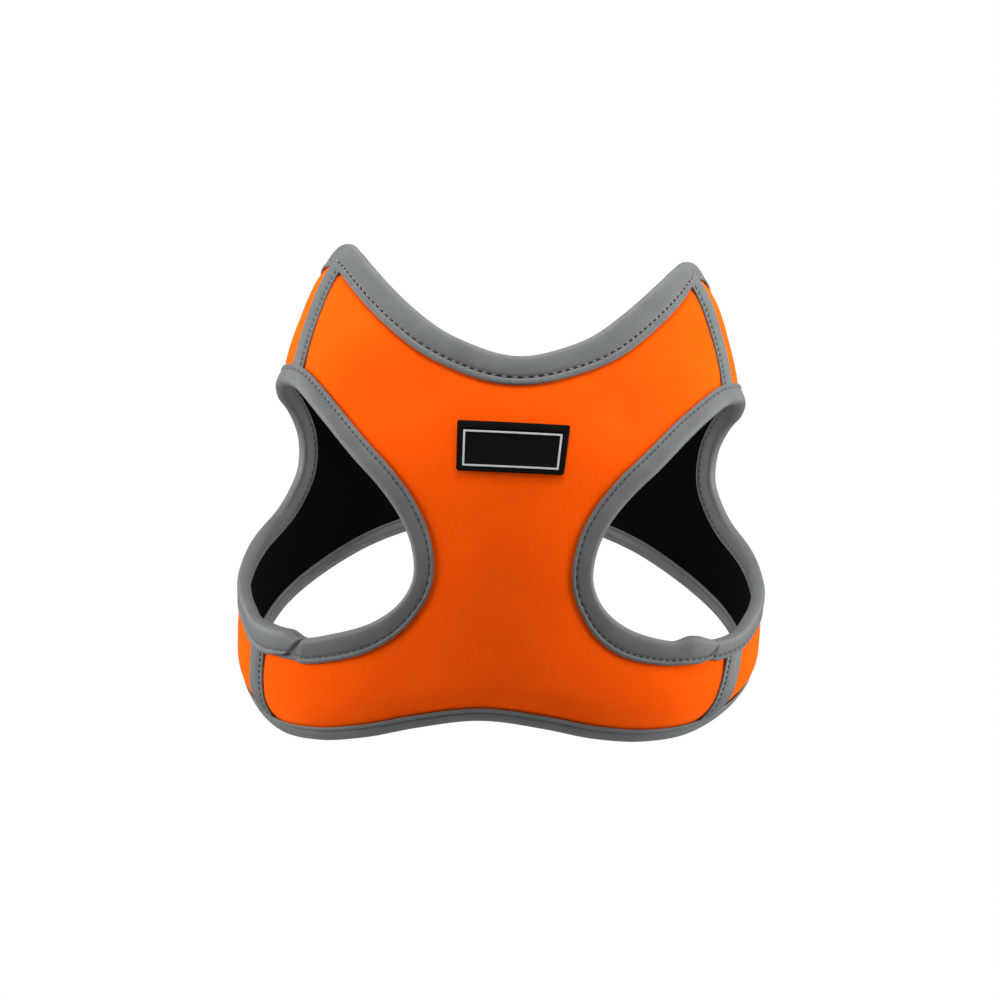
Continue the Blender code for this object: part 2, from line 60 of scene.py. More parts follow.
# ------------------------------------------------------------------------------- sizes and colours
def linear(code):
    """A linear colour from an sRGB hex value."""
    parts = [int(code[i:i + 2], 16) / 255 for i in (1, 3, 5)]
    return tuple(c / 12.92 if c <= 0.04045 else ((c + 0.055) / 1.055) ** 2.4 for c in parts)


def size(name, metres, about):
    return FloatProperty(name=name, description=about, default=metres, min=0, unit="LENGTH")


def colour(name, code, about):
    return FloatVectorProperty(name=name, description=about, default=linear(code), size=3,
                               min=0, max=1, subtype="COLOR")


class VestSizes(bpy.types.PropertyGroup):
    """Sizes that a maker of the vest would change."""
    cloth: size("Cloth", 0.002, "Thickness of the foam-backed knit")
    lining: size("Lining", 0.0008, "Thickness of the black lining")
    neck_tape: size("Neck tape", 0.0144, "Width of the neck binding on the outside")
    armhole_tape: size("Armhole tape", 0.0090, "Width of an armhole binding on the outside")
    hem_tape: size("Hem tape", 0.0070, "Width of the hem binding on the outside")
    seam_tape: size("Seam tape", 0.0088, "Width of the flat tapes over the seams")
    stitch: size("Stitch", 0.0032, "Length of a stitch, from needle hole to needle hole")
    thread: size("Thread", 0.0006, "Thickness of the sewing thread")


class VestColours(bpy.types.PropertyGroup):
    """Colours of the cloth and its trim."""
    knit: colour("Knit", "#FA5504", "Fluorescent orange of the outer knit")
    lining: colour("Lining", "#070806", "Black of the inner knit")
    tape: colour("Tape", "#606363", "Grey of the reflective tape")
    thread: colour("Thread", "#7E8284", "Grey of the sewing thread")
    rubber: colour("Rubber", "#060505", "Black of the moulded patch")
    line: colour("Frame line", "#B4B6B6", "Pale grey of the line on the patch")
    webbing: colour("Webbing", "#101113", "Black of the lead's tab")
    steel: colour("Steel", "#C9C8C4", "Nickel plate of the lead's ring")


def mm(metres):
    return metres / MM


# ------------------------------------------------------------------------------- the body surface
# A superellipse at each height.
#        height, half width, front depth, back depth, squareness
BODY = ((-105,     106.0,       69.0,        62.5,       2.40),
        (-80,      115.8,       72.0,        64.0,       2.40),
        (-60,      117.4,       72.0,        64.0,       2.40),
        (-40,      117.2,       71.2,        63.6,       2.40),
        (-20,      115.8,       70.0,        63.0,       2.40),
        (20,       109.5,       65.5,        61.0,       2.40),
        (50,       104.2,       57.0,        58.0,       2.35),
        (75,        97.9,       45.5,        54.0,       2.30),
        (100,       87.8,       32.0,        48.0,       2.20),
        (120,       70.8,       20.0,        40.0,       2.10))
CURL = 6.0                # the hem turns in by this much
CURL_FROM = 16.0          # over this height above its fold

# Shallow troughs where the cloth sinks between the shoulders and the chest, and a broad ridge
# down the chest between the armholes.
#          turn, height, reach in degrees, reach in mm, rise
TROUGHS = ((46.0,  39.0,  13.0,             12.0,       -3.0),
           (-41.0, 42.0,  13.0,             12.0,       -2.0),
           (2.0,  -22.0,  17.0,             45.0,        4.6))

# The pose: a lean to +X with the height, a roll and a twist.
#       height, sideways, roll, twist
POSE = ((-105,    -4.8,   -0.6,   -5.0),
        (-85,     -2.4,    0.1,   -4.0),
        (-55,     -0.4,    1.0,   -0.5),
        (0,        2.5,    1.7,    0.0),
        (35,       4.3,    2.2,    0.0),
        (62,       5.7,    2.6,    1.5),
        (85,       6.9,    2.9,    0.0),
        (115,      8.2,    3.3,   -1.0))

#        turn, height of the fold of the binding
NECK = ((0,     60.9), (20.5,  65.2), (36.1,  72.1), (48.9,  81.2), (59.4,  90.2), (68.9,  99.3),
        (76.2, 106.3), (82.3, 110.8), (89,   110.6), (99,   105.0), (118,   92.0), (140,   77.0),
        (160,   67.0), (180,   64.0))
HEM = ((0,     -90.5), (23,   -94.2), (39,   -98.8), (52,  -100.7), (64,   -98.6), (75,   -90.2),
       (88,    -75.5), (100,  -62.0), (108,  -50.0), (115,  -39.8), (126,  -26.2), (144,  -14.0),
       (163,    -8.5), (180,   -7.0))

# One armhole's fold, closed, from under the arm to the front, up to the shoulder and down the back.
#            turn, height, corner
ARMHOLE = ((67.0, -54.8, "side seam"),
           (58.0, -57.8, ""),
           (48.5, -57.0, ""),
           (38.6, -52.0, ""),
           (31.4, -43.5, "low front"),
           (28.0, -32.5, ""),
           (29.2, -20.0, ""),
           (33.4,  -8.0, ""),
           (40.0,   3.8, ""),
           (48.0,  15.0, "high front"),
           (58.1,  29.1, ""),
           (66.8,  40.1, ""),
           (72.5,  45.2, "shoulder seam"),
           (79.2,  47.0, ""),
           (85.8,  45.6, ""),
           (93.0,  42.0, ""),
           (100.5, 37.4, ""),
           (105.8, 28.5, "high back"),
           (108.2, 17.0, "low back"),
           (107.9,  6.0, ""),
           (104.2, -8.0, ""),
           (96.6, -20.0, ""),
           (88.5, -30.5, ""),
           (80.0, -39.5, ""),
           (73.5, -47.0, ""))

# The seams, as lines through two places (height, turn), and their turns at the neck and the hem.
SHOULDER_SEAM = ((45.0, 72.3), (95.0, 79.0))
SIDE_SEAM = ((-95.0, 66.8), (-59.8, 67.2))
AT_NECK = 81.0
AT_HEM = 66.8


def smooth(knots, values, at):
    """A cubic through (knots, values), with straight ends."""
    knots = np.asarray(knots, float)
    values = np.asarray(values, float)
    slopes = np.gradient(values, knots, axis=0)
    at = np.asarray(at, float)
    i = np.clip(np.searchsorted(knots, at, side="right") - 1, 0, len(knots) - 2)
    span = knots[i + 1] - knots[i]
    t = np.clip((at - knots[i]) / span, 0, 1)
    over = (at - knots[i]) - t * span
    if values.ndim > 1:
        span, t, over = span[..., None], t[..., None], over[..., None]
    rise = values[i + 1] - values[i]
    bend = slopes[i] * span - rise
    far = slopes[i + 1] * span - rise
    curve = values[i] + t * rise + t * (1 - t) * ((1 - t) * bend - t * far)
    end = np.where(over > 0, slopes[i + 1], slopes[i])
    return curve + over * end


def mirrored(rows):
    """Rows of (turn, height), carried past 0 and 180 so that the curve is level there."""
    rows = np.array(rows, float)
    before = rows[1:3][::-1] * (-1, 1)
    after = rows[-3:-1][::-1] * (-1, 1) + (360, 0)
    return np.vstack([before, rows, after])


def edge_height(rows, turn):
    """The height of the neck or the hem at a turn."""
    rows = mirrored(rows)
    turn = np.abs((np.asarray(turn, float) + 180) % 360 - 180)
    return smooth(rows[:, 0], rows[:, 1], turn)


def cut_point(place):
    """The surface as cut and sewn, before the pose."""
    turn, height = np.asarray(place, float).T
    rows = np.array(BODY)
    wide, front, back, square = smooth(rows[:, 0], rows[:, 1:], height).T
    side, ahead = np.sin(np.radians(turn)), np.cos(np.radians(turn))
    deep = np.where(ahead > 0, front, back)
    reach = (np.abs(side / wide) ** square + np.abs(ahead / deep) ** square) ** (-1 / square)
    near_hem = np.clip(1 - (height - edge_height(HEM, turn)) / CURL_FROM, 0, 1.5)
    reach = reach - CURL * near_hem ** 2
    for at_turn, at_height, wide_by, tall_by, rise in TROUGHS:
        away = ((turn - at_turn) / wide_by) ** 2 + ((height - at_height) / tall_by) ** 2
        reach = reach + rise * np.exp(-away / 2)
    return np.stack([reach * side, -reach * ahead, height], -1)


def posed(point):
    """A point of the cut vest, leant and rolled into the pose."""
    rows = np.array(POSE)
    x, y, z = point.T
    sideways, roll, twist = smooth(rows[:, 0], rows[:, 1:], z).T
    roll, twist = np.radians(roll), np.radians(twist)
    turned = x * np.cos(twist) - y * np.sin(twist)
    return np.stack([turned + sideways,
                     x * np.sin(twist) + y * np.cos(twist),
                     z - turned * np.tan(roll)], -1)


def unit(vectors):
    return vectors / np.linalg.norm(vectors, axis=-1, keepdims=True)


def directions(place, shape):
    """Derivatives of a surface by turn and by height, and its outward normal."""
    place = np.asarray(place, float)
    step = np.array((0.2, 0.0)), np.array((0.0, 0.4))
    by_turn = (shape(place + step[0]) - shape(place - step[0])) / 0.4
    by_height = (shape(place + step[1]) - shape(place - step[1])) / 0.8
    return by_turn, by_height, unit(np.cross(by_turn, by_height))


def vest_point(place):
    return posed(cut_point(place))


def normal_at(place):
    return directions(place, vest_point)[2]


def lifted(place, lift):
    """Places moved out along the posed surface's normal, as points in mm."""
    return vest_point(place) + normal_at(place) * np.asarray(lift, float)[..., None]


def across(path, closed=True):
    """Unit vectors on the cut surface, square to a path and to the left of its run, from outside."""
    points = cut_point(path)
    if closed:
        run = np.roll(points, -1, 0) - np.roll(points, 1, 0)
    else:
        run = np.gradient(points, axis=0)
    return unit(np.cross(directions(path, cut_point)[2], run))


def slid(path, distance, closed=True):
    """A path's places moved sideways by a distance in mm, along the cut surface."""
    by_turn, by_height, _ = directions(path, cut_point)
    move = across(path, closed) * np.broadcast_to(distance, len(path))[:, None]
    tt, th, hh = [(a * b).sum(-1) for a, b in
                  ((by_turn, by_turn), (by_turn, by_height), (by_height, by_height))]
    mt, mh = (move * by_turn).sum(-1), (move * by_height).sum(-1)
    square = tt * hh - th * th
    shift = np.stack([(mt * hh - mh * th) / square, (mh * tt - mt * th) / square], -1)
    return np.asarray(path, float) + shift


def evenly(path, count):
    """A path of places with count + 1 stations at equal steps along the surface."""
    steps = np.linalg.norm(np.diff(cut_point(path), axis=0), axis=1)
    along = np.r_[0, np.cumsum(steps)]
    at = np.linspace(0, along[-1], count + 1)
    return np.stack([np.interp(at, along, column) for column in np.asarray(path).T], -1)


def run_length(path):
    """The length of a path of places along the surface."""
    return float(np.linalg.norm(np.diff(cut_point(path), axis=0), axis=1).sum())


def ease(t):
    """0 to 1, level at both ends."""
    t = np.clip(t, 0, 1)
    return t * t * (3 - 2 * t)


# ------------------------------------------------------------------------------------ the pattern
CUT_BACK = 1.8            # the cloth's edge lies this far inside the fold of its binding
NECK_LIP, ARMHOLE_LIP, HEM_LIP = 3.3, 1.9, 2.0
# The neck binding narrows by a share over the +X shoulder, round a turn.
NARROW = dict(share=0.27, turn=86.0, across=12.0)
# The armhole bindings widen under the arm by a share, below a height and ahead of a turn.
WIDEN = dict(share=0.26, below=-42.0, over=12.0, ahead=72.0, across=14.0)
FINER = 3                 # stations for each station of the solids' own grids
INNER_RINGS = 12          # rings of cloth between the bindings
UNDER_RINGS = 3           # rings of cloth under a binding

# Rays run from the outline to the armhole. One row for each stretch of a panel's outline.
#         panel,   outline,  from turn, to turn, from corner,     to corner,     rays
RAYS = (("front", "hem",     AT_HEM,      0.0,  "side seam",     "low front",     15),
        ("front", "centre",     0.0,      0.0,  "low front",     "high front",     8),
        ("front", "neck",       0.0,  AT_NECK,  "high front",    "shoulder seam",  9),
        ("back",  "neck",   AT_NECK,    180.0,  "shoulder seam", "high back",     12),
        ("back",  "centre",   180.0,    180.0,  "high back",     "low back",       6),
        ("back",  "hem",      180.0,   AT_HEM,  "low back",      "side seam",     21))


def binding_widths(sizes):
    """The width of each binding on the outside, in mm."""
    return {"hem": mm(sizes.hem_tape), "neck": mm(sizes.neck_tape),
            "armhole": mm(sizes.armhole_tape)}


def armhole_path(start, end, fine=40):
    """The armhole's fold between two of its named corners, or all round."""
    corners = [row[2] for row in ARMHOLE]
    first, last = corners.index(start), corners.index(end)
    if last <= first:
        last += len(ARMHOLE)
    rows = np.array([row[:2] for row in ARMHOLE])
    wrapped = np.vstack([rows] * 3)
    knots = np.arange(len(wrapped)) - len(rows)
    return smooth(knots, wrapped, np.linspace(first, last, fine * (last - first) + 1))


def spread(place):
    """The armhole bindings widen under the arm."""
    turn, height = np.abs(np.asarray(place, float)[:, 0]), np.asarray(place, float)[:, 1]
    low = np.clip((WIDEN["below"] - height) / WIDEN["over"], 0, 1)
    ahead = np.clip((WIDEN["ahead"] - turn) / WIDEN["across"], 0, 1)
    return 1 + WIDEN["share"] * low * ahead


def neck_spread(place):
    """The neck binding narrows over the +X shoulder."""
    turn = np.asarray(place, float)[..., 0]
    return 1 - NARROW["share"] * np.exp(-((turn - NARROW["turn"]) / NARROW["across"]) ** 2)


def edge_rows(edge):
    """The rows of the neck or the hem, and the side of its path on which the cloth lies."""
    return (HEM, 1) if edge == "hem" else (NECK, -1)


def into_cloth(edge, turns, distance):
    """Places at a distance into the cloth from the fold of the neck or the hem."""
    rows, sign = edge_rows(edge)
    lines = np.asarray(turns, float)[:, None] + np.array((-0.5, 0.0, 0.5))
    return np.array([slid(np.stack([line, edge_height(rows, line)], -1), sign * far, False)[1]
                     for line, far in zip(lines, np.broadcast_to(distance, len(lines)))])


def outline_stretch(edge, start, end, count, widths):
    """Stations on the fold of the neck or the hem, or on a centre line between their bindings."""
    if edge == "centre":
        ends = [into_cloth(name, [start], widths[name])[0] for name in ("hem", "neck")]
        fine = np.array(ends if start < 90 else ends[::-1])
        fine[:, 0] = start
        return evenly(fine, count)
    rows, _ = edge_rows(edge)
    turns = np.linspace(start, end, 800)
    stations = evenly(np.stack([turns, edge_height(rows, turns)], -1), count)
    stations[:, 1] = edge_height(rows, stations[:, 0])
    return stations


def seam_turn(seam, height):
    (low, turn_low), (high, turn_high) = seam
    return turn_low + (turn_high - turn_low) * (np.asarray(height) - low) / (high - low)


def end_on_seam(grid, row, seam):
    """The first or last row of a grid, moved along the rings to a seam."""
    ends, inner = grid[row], grid[1 if row == 0 else -2]
    share = (seam_turn(seam, ends[:, 1]) - ends[:, 0]) / (inner[:, 0] - ends[:, 0])
    grid[row] = ends + (inner - ends) * share[:, None]


def half_panel(panel, widths):
    """Grids of places that cover one half of a panel: rays from its outline to the armhole, and a
    strip under each of the neck and hem bindings."""
    folds, outline, edges, panels = [], [], [], []
    for name, edge, start, end, corner, next_corner, count in RAYS:
        count = count * FINER
        folds.append(evenly(armhole_path(corner, next_corner), count)[:-1])
        outline.append(outline_stretch(edge, start, end, count, widths)[:-1])
        edges += [edge] * count
        panels += [name] * count
    fold, outline = np.vstack(folds), np.vstack(outline)
    near = slid(fold, CUT_BACK)
    clear = slid(fold, widths["armhole"] * spread(fold))
    picked = [i for i, name in enumerate(panels) if name == panel]
    picked.append((picked[-1] + 1) % len(panels))
    start = outline[picked]
    kinds = [edges[i] for i in picked]
    strips = []
    for edge in ("hem", "neck"):
        on = [k for k, name in enumerate(kinds) if name == edge]
        turns = start[on, 0]
        start[on] = into_cloth(edge, turns, widths[edge])
        if edge == "hem" and panel == "front" or edge == "neck" and panel == "back":
            corner = on[-1] + 1
            turns = np.append(turns, start[corner, 0])
            on.append(corner)
        fold_side = into_cloth(edge, turns, CUT_BACK)
        shares = np.linspace(0, 1, UNDER_RINGS + 1)
        strips.append(np.stack([fold_side + (start[on] - fold_side) * t for t in shares], 1))
    inner, outer = clear[picked], near[picked]
    rings = [start + (inner - start) * t for t in np.linspace(0, 1, INNER_RINGS + 2)]
    rings += [inner + (outer - inner) * t for t in np.linspace(0, 1, UNDER_RINGS + 1)[1:]]
    rings = np.stack(rings, 1)
    first, last = (SIDE_SEAM, SHOULDER_SEAM) if panel == "front" else (SHOULDER_SEAM, SIDE_SEAM)
    end_on_seam(rings, 0, first)
    end_on_seam(rings, -1, last)
    hem, neck = strips
    end_on_seam(hem, 0 if panel == "front" else -1, SIDE_SEAM)
    end_on_seam(neck, -1 if panel == "front" else 0, SHOULDER_SEAM)
    return [rings, hem, neck]


def closed_fold(edge, stitches):
    """A binding's fold, with so many stations to a stitch, for the neck, the hem or an armhole."""
    if edge == "armhole":
        fine = armhole_path("side seam", "side seam", 60)
    else:
        turns = np.linspace(-180, 180, 3601)
        fine = np.stack([turns, edge_height(edge_rows(edge)[0], turns)], -1)
    count = max(1, round(run_length(fine) / stitches)) * STATIONS
    return evenly(fine, count)[:-1]


# ---------------------------------------------------------------------------------- mesh and nodes
SHARP = np.radians(50)    # edges that turn by more than this stay sharp


def mesh_piece(name, points, faces, material, corner_uv=None, points_data=None):
    """A piece from points in mm and faces, turned right side out, on one material."""
    points = np.asarray(points, float)
    sizes = np.array([len(face) for face in faces])
    corners = np.fromiter((i for face in faces for i in face), int, sizes.sum())
    mesh = bpy.data.meshes.new(name)
    mesh.vertices.add(len(points))
    mesh.vertices.foreach_set("co", (points * MM).astype(np.float32).ravel())
    mesh.loops.add(len(corners))
    mesh.loops.foreach_set("vertex_index", corners.astype(np.int32))
    mesh.polygons.add(len(sizes))
    mesh.polygons.foreach_set("loop_start", np.r_[0, np.cumsum(sizes)[:-1]].astype(np.int32))
    if corner_uv is not None:
        layer = mesh.uv_layers.new(name="Cloth")
        layer.data.foreach_set("uv", np.asarray(corner_uv, np.float32).ravel())
    for key, values in (points_data or {}).items():
        mesh.attributes.new(key, "FLOAT", "POINT").data.foreach_set(
            "value", np.asarray(values, np.float32).ravel())
    mesh.update()
    mesh.validate()
    if signed_volume(points, faces) < 0:
        mesh.flip_normals()
    mesh.shade_smooth()
    mesh.set_sharp_from_angle(angle=SHARP)
    mesh.materials.append(material)
    made = bpy.data.objects.new(name, mesh)
    bpy.context.scene.collection.objects.link(made)
    return made


def signed_volume(points, faces):
    """Six times the volume inside closed faces, above 0 if they point out."""
    total = 0.0
    for count in {len(face) for face in faces}:
        group = points[np.array([face for face in faces if len(face) == count])]
        for k in range(1, count - 1):
            total += (group[:, 0] * np.cross(group[:, k], group[:, k + 1])).sum()
    return total


def grid_faces(rows, columns, closed_rows=False, closed_columns=False):
    """Faces of a grid of points, row by row, as an array of point numbers."""
    i = np.arange(rows if closed_rows else rows - 1)[:, None]
    k = np.arange(columns if closed_columns else columns - 1)[None, :]
    j, m = (i + 1) % rows, (k + 1) % columns
    quads = np.stack(np.broadcast_arrays(i * columns + k, j * columns + k,
                                         j * columns + m, i * columns + m), -1)
    return quads.reshape(-1, 4)


def tube(name, grid, lengths, widths, material, points_data=None, closed=True):
    """A piece from a grid of points, stations by section points, whose section is closed."""
    rows, columns = grid.shape[:2]
    faces = grid_faces(rows, columns, closed, True)
    i, k = np.divmod(np.arange(len(faces)), columns)
    u, v = np.asarray(lengths), np.asarray(widths)
    corner_uv = np.stack([np.stack([u[i + a], v[k + b]], -1)
                          for a, b in ((0, 0), (1, 0), (1, 1), (0, 1))], 1).reshape(-1, 2)
    faces = [tuple(face) for face in faces.tolist()]
    if not closed:
        caps = [tuple(range(columns)), tuple((rows - 1) * columns + k for k in range(columns))[::-1]]
        faces += caps
        corner_uv = np.vstack([corner_uv, np.zeros((2 * columns, 2))])
    return mesh_piece(name, grid.reshape(-1, 3), faces, material, corner_uv, points_data)


def add_node(tree, kind, settings=None, links=None):
    """Adds a node. settings sets its attributes, or its inputs by name or number. links joins an
    input of it to (node, output)."""
    node = tree.nodes.new(kind)
    for key, value in (settings or {}).items():
        if isinstance(key, str) and hasattr(node, key):
            setattr(node, key, value)
        else:
            node.inputs[key].default_value = value
    for key, (source, output) in (links or {}).items():
        tree.links.new(source.outputs[output], node.inputs[key])
    return node


def new_material(name, settings):
    """A material with its Principled shader's own sockets set. Gives (material, tree, shader)."""
    made = bpy.data.materials.new(name)
    made.use_nodes = True
    tree = made.node_tree
    shader = tree.nodes["Principled BSDF"]
    for key, value in settings.items():
        shader.inputs[key].default_value = value
    return made, tree, shader


def rgba(colour_value):
    return (*colour_value, 1.0)


def mixed(tree, first, second, factor):
    """A node whose colour goes from the first to the second by (node, output)."""
    return add_node(tree, "ShaderNodeMix", {"data_type": "RGBA", 6: rgba(first), 7: rgba(second)},
                    {0: factor})


WALES = 1000.0            # bands of the knit for each metre across
KNITS = {
    "fluorescent knit": dict(light=(1.0, 0.42, 0.05), roughness=0.9, sheen=0.25, relief=0.09,
                             gloss=0.03),
    "black knit": dict(light=(0.3, 0.3, 0.3), roughness=0.95, sheen=0.0, relief=0.06, gloss=0.05),
}


def knit(name, base, light, roughness, sheen, relief, gloss):
    """Fine weft knit laminated to foam. Its face is even and dull, with wales that run up the body,
    and a short nap that lifts the colour where the cloth turns away."""
    made, tree, shader = new_material(name, {
        "Roughness": roughness, "Sheen Weight": sheen, "Sheen Roughness": 0.45,
        "Sheen Tint": rgba(light), "Specular IOR Level": gloss})
    uv = add_node(tree, "ShaderNodeUVMap", {"uv_map": "Cloth"})
    # The map is in metres. Bands of a wave texture are 0.314 m apart at a scale of 1.
    ribs = add_node(tree, "ShaderNodeTexWave", {"bands_direction": "X", "Scale": WALES / np.pi,
                                                "Distortion": 0.6, "Detail": 1.0,
                                                "Detail Scale": 2.0}, {"Vector": (uv, "UV")})
    grain = add_node(tree, "ShaderNodeTexNoise", {"Scale": 900.0, "Detail": 3.0,
                                                  "Roughness": 0.6}, {"Vector": (uv, "UV")})
    cloud = add_node(tree, "ShaderNodeTexNoise", {"Scale": 45.0, "Detail": 2.0},
                     {"Vector": (uv, "UV")})
    speckle = add_node(tree, "ShaderNodeMapRange", {1: 0.25, 2: 0.75, 3: 0.0, 4: 1.0},
                       {0: (grain, "Fac")})
    drift = add_node(tree, "ShaderNodeMapRange", {1: 0.3, 2: 0.7, 3: 0.0, 4: 0.5},
                     {0: (cloud, "Fac")})
    factor = add_node(tree, "ShaderNodeMath", {"operation": "MULTIPLY_ADD", 1: 0.5},
                      {0: (speckle, 0), 2: (drift, 0)})
    dark = [c * 0.90 for c in base]
    bright = [min(1.0, c * 1.08) for c in base]
    shade = mixed(tree, dark, bright, (factor, 0))
    tree.links.new(shade.outputs[2], shader.inputs["Base Color"])
    both = add_node(tree, "ShaderNodeMath", {"operation": "MULTIPLY_ADD", 1: 0.6},
                    {0: (grain, "Fac"), 2: (ribs, "Fac")})
    bump = add_node(tree, "ShaderNodeBump", {"Strength": 0.5, "Distance": relief * MM},
                    {"Height": (both, 0)})
    tree.links.new(bump.outputs[0], shader.inputs["Normal"])
    return made


def reflective_tape(name, base):
    """Grey tape coated with glass beads on a plain weave: soft and even, with a broad faint gloss and
    a fine sparkle. The needle holes get painted shade: the hole attribute darkens the base colour
    there."""
    made, tree, shader = new_material(name, {
        "Roughness": 0.55, "Specular IOR Level": 0.25, "Sheen Weight": 0.03,
        "Sheen Roughness": 0.5, "Sheen Tint": (0.9, 0.95, 1.0, 1.0)})
    uv = add_node(tree, "ShaderNodeUVMap", {"uv_map": "Cloth"})
    beads = add_node(tree, "ShaderNodeTexNoise", {"Scale": 1300.0, "Detail": 2.0},
                     {"Vector": (uv, "UV")})
    weave = add_node(tree, "ShaderNodeTexVoronoi", {"Scale": 1500.0}, {"Vector": (uv, "UV")})
    cloud = add_node(tree, "ShaderNodeTexNoise", {"Scale": 90.0, "Detail": 3.0},
                     {"Vector": (uv, "UV")})
    blend = add_node(tree, "ShaderNodeMath", {"operation": "MULTIPLY_ADD", 1: 0.5},
                     {0: (beads, "Fac"), 2: (cloud, "Fac")})
    factor = add_node(tree, "ShaderNodeMapRange", {1: 0.5, 2: 1.0, 3: 0.0, 4: 1.0}, {0: (blend, 0)})
    tone = mixed(tree, [c * 0.88 for c in base], [c * 1.12 for c in base], (factor, 0))
    # Painted shade: where the hole attribute is 1, the base colour falls to 6 %, standing in for the
    # shadow in a needle hole.
    hole = add_node(tree, "ShaderNodeAttribute", {"attribute_name": "hole"})
    shade = add_node(tree, "ShaderNodeMix", {"data_type": "RGBA", 7: rgba([c * 0.06 for c in base])},
                     {0: (hole, "Fac"), 6: (tone, 2)})
    tree.links.new(shade.outputs[2], shader.inputs["Base Color"])
    bump = add_node(tree, "ShaderNodeBump", {"Strength": 0.35, "Distance": 0.05 * MM},
                    {"Height": (weave, "Distance")})
    tree.links.new(bump.outputs[0], shader.inputs["Normal"])
    return made


def spun_thread(name, base):
    """Spun polyester thread: dull, with its twist just showing."""
    made, tree, shader = new_material(name, {"Roughness": 0.6, "Sheen Weight": 0.2,
                                             "Sheen Roughness": 0.4})
    place = add_node(tree, "ShaderNodeTexCoord")
    twist = add_node(tree, "ShaderNodeTexNoise", {"Scale": 2500.0, "Detail": 1.0},
                     {"Vector": (place, "Object")})
    shade = mixed(tree, [c * 0.8 for c in base], [min(1.0, c * 1.15) for c in base], (twist, "Fac"))
    tree.links.new(shade.outputs[2], shader.inputs["Base Color"])
    return made


def moulded_rubber(name, base, roughness):
    """Soft moulded rubber: semi-matt with a faint cloudy bloom."""
    made, tree, shader = new_material(name, {"Specular IOR Level": 0.06})
    place = add_node(tree, "ShaderNodeTexCoord")
    bloom = add_node(tree, "ShaderNodeTexNoise", {"Scale": 400.0, "Detail": 4.0},
                     {"Vector": (place, "Object")})
    shade = mixed(tree, [c * 0.85 for c in base], [c * 1.25 for c in base], (bloom, "Fac"))
    tree.links.new(shade.outputs[2], shader.inputs["Base Color"])
    rough = add_node(tree, "ShaderNodeMapRange", {3: roughness - 0.08, 4: roughness + 0.08},
                     {0: (bloom, "Fac")})
    tree.links.new(rough.outputs[0], shader.inputs["Roughness"])
    bump = add_node(tree, "ShaderNodeBump", {"Strength": 0.15, "Distance": 0.04 * MM},
                    {"Height": (bloom, "Fac")})
    tree.links.new(bump.outputs[0], shader.inputs["Normal"])
    return made


def nylon_webbing(name, base):
    """Woven nylon webbing: ribs 1.1 mm apart across the strap, broken into floats."""
    made, tree, shader = new_material(name, {"Roughness": 0.6, "Sheen Weight": 0.3,
                                             "Sheen Roughness": 0.3})
    uv = add_node(tree, "ShaderNodeUVMap", {"uv_map": "Cloth"})
    floats = add_node(tree, "ShaderNodeTexBrick", {
        "Scale": 450.0, "Mortar Size": 0.03, "Mortar Smooth": 0.6, "Brick Width": 1.0,
        "Row Height": 0.5, "Color1": rgba([c * 1.6 for c in base]), "Color2": rgba(base),
        "Mortar": rgba([c * 0.3 for c in base])}, {"Vector": (uv, "UV")})
    tree.links.new(floats.outputs["Color"], shader.inputs["Base Color"])
    bump = add_node(tree, "ShaderNodeBump", {"Strength": 0.8, "Distance": 0.25 * MM,
                                             "invert": True}, {"Height": (floats, "Fac")})
    tree.links.new(bump.outputs[0], shader.inputs["Normal"])
    return made


def nickel_plate(name, base):
    """Nickel plated steel wire, bright with faint drawing lines."""
    made, tree, shader = new_material(name, {"Metallic": 1.0, "Base Color": rgba(base)})
    place = add_node(tree, "ShaderNodeTexCoord")
    wear = add_node(tree, "ShaderNodeTexNoise", {"Scale": 600.0, "Detail": 5.0},
                    {"Vector": (place, "Object")})
    rough = add_node(tree, "ShaderNodeMapRange", {3: 0.16, 4: 0.34}, {0: (wear, "Fac")})
    tree.links.new(rough.outputs[0], shader.inputs["Roughness"])
    return made


def finish_of(name):
    """One of the vest's materials, made when it is first asked for."""
    found = bpy.data.materials.get(name)
    if found:
        return found
    hues = bpy.context.scene.vest_colours
    makers = {
        "fluorescent knit": lambda: knit(name, hues.knit, **KNITS[name]),
        "black knit": lambda: knit(name, hues.lining, **KNITS[name]),
        "reflective tape": lambda: reflective_tape(name, hues.tape),
        "spun thread": lambda: spun_thread(name, hues.thread),
        "black rubber": lambda: moulded_rubber(name, hues.rubber, 0.6),
        "pale rubber": lambda: moulded_rubber(name, hues.line, 0.5),
        "nylon webbing": lambda: nylon_webbing(name, hues.webbing),
        "nickel plate": lambda: nickel_plate(name, hues.steel),
    }
    return makers[name]()


def worn(piece, slot, *nodes, body=VEST):
    """Puts a piece on its body, in place of its solids."""
    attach(piece, body)
    if nodes:
        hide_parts(*nodes)
    return piece


# ------------------------------------------------------------------------------------- the cloth
PINCH = 0.55              # a binding's seam presses the cloth down by this much
PINCH_OVER = 3.0          # and the cloth recovers over this length
LAYER_GAP = 0.3           # between the outer cloth and its lining
LINING_PRESS = 0.4        # the lining's inner face follows the pinch by this share
COARSE = 8.0              # mm of fold for each stitch, where only its place is asked for


def fold_tree(sizes):
    """All folds as one tree of points in mm, with the width of the binding at each."""
    wide = binding_widths(sizes)
    neck, hem, arm = (closed_fold(edge, COARSE) for edge in ("neck", "hem", "armhole"))
    at_arm = wide["armhole"] * spread(arm)
    points = vest_point(np.vstack([neck, hem, arm * (-1, 1), arm]))
    widths = np.concatenate([wide["neck"] * neck_spread(neck), np.full(len(hem), wide["hem"]),
                             at_arm, at_arm])
    tree = KDTree(len(points))
    for i, point in enumerate(points):
        tree.insert(point, i)
    tree.balance()
    return tree, widths


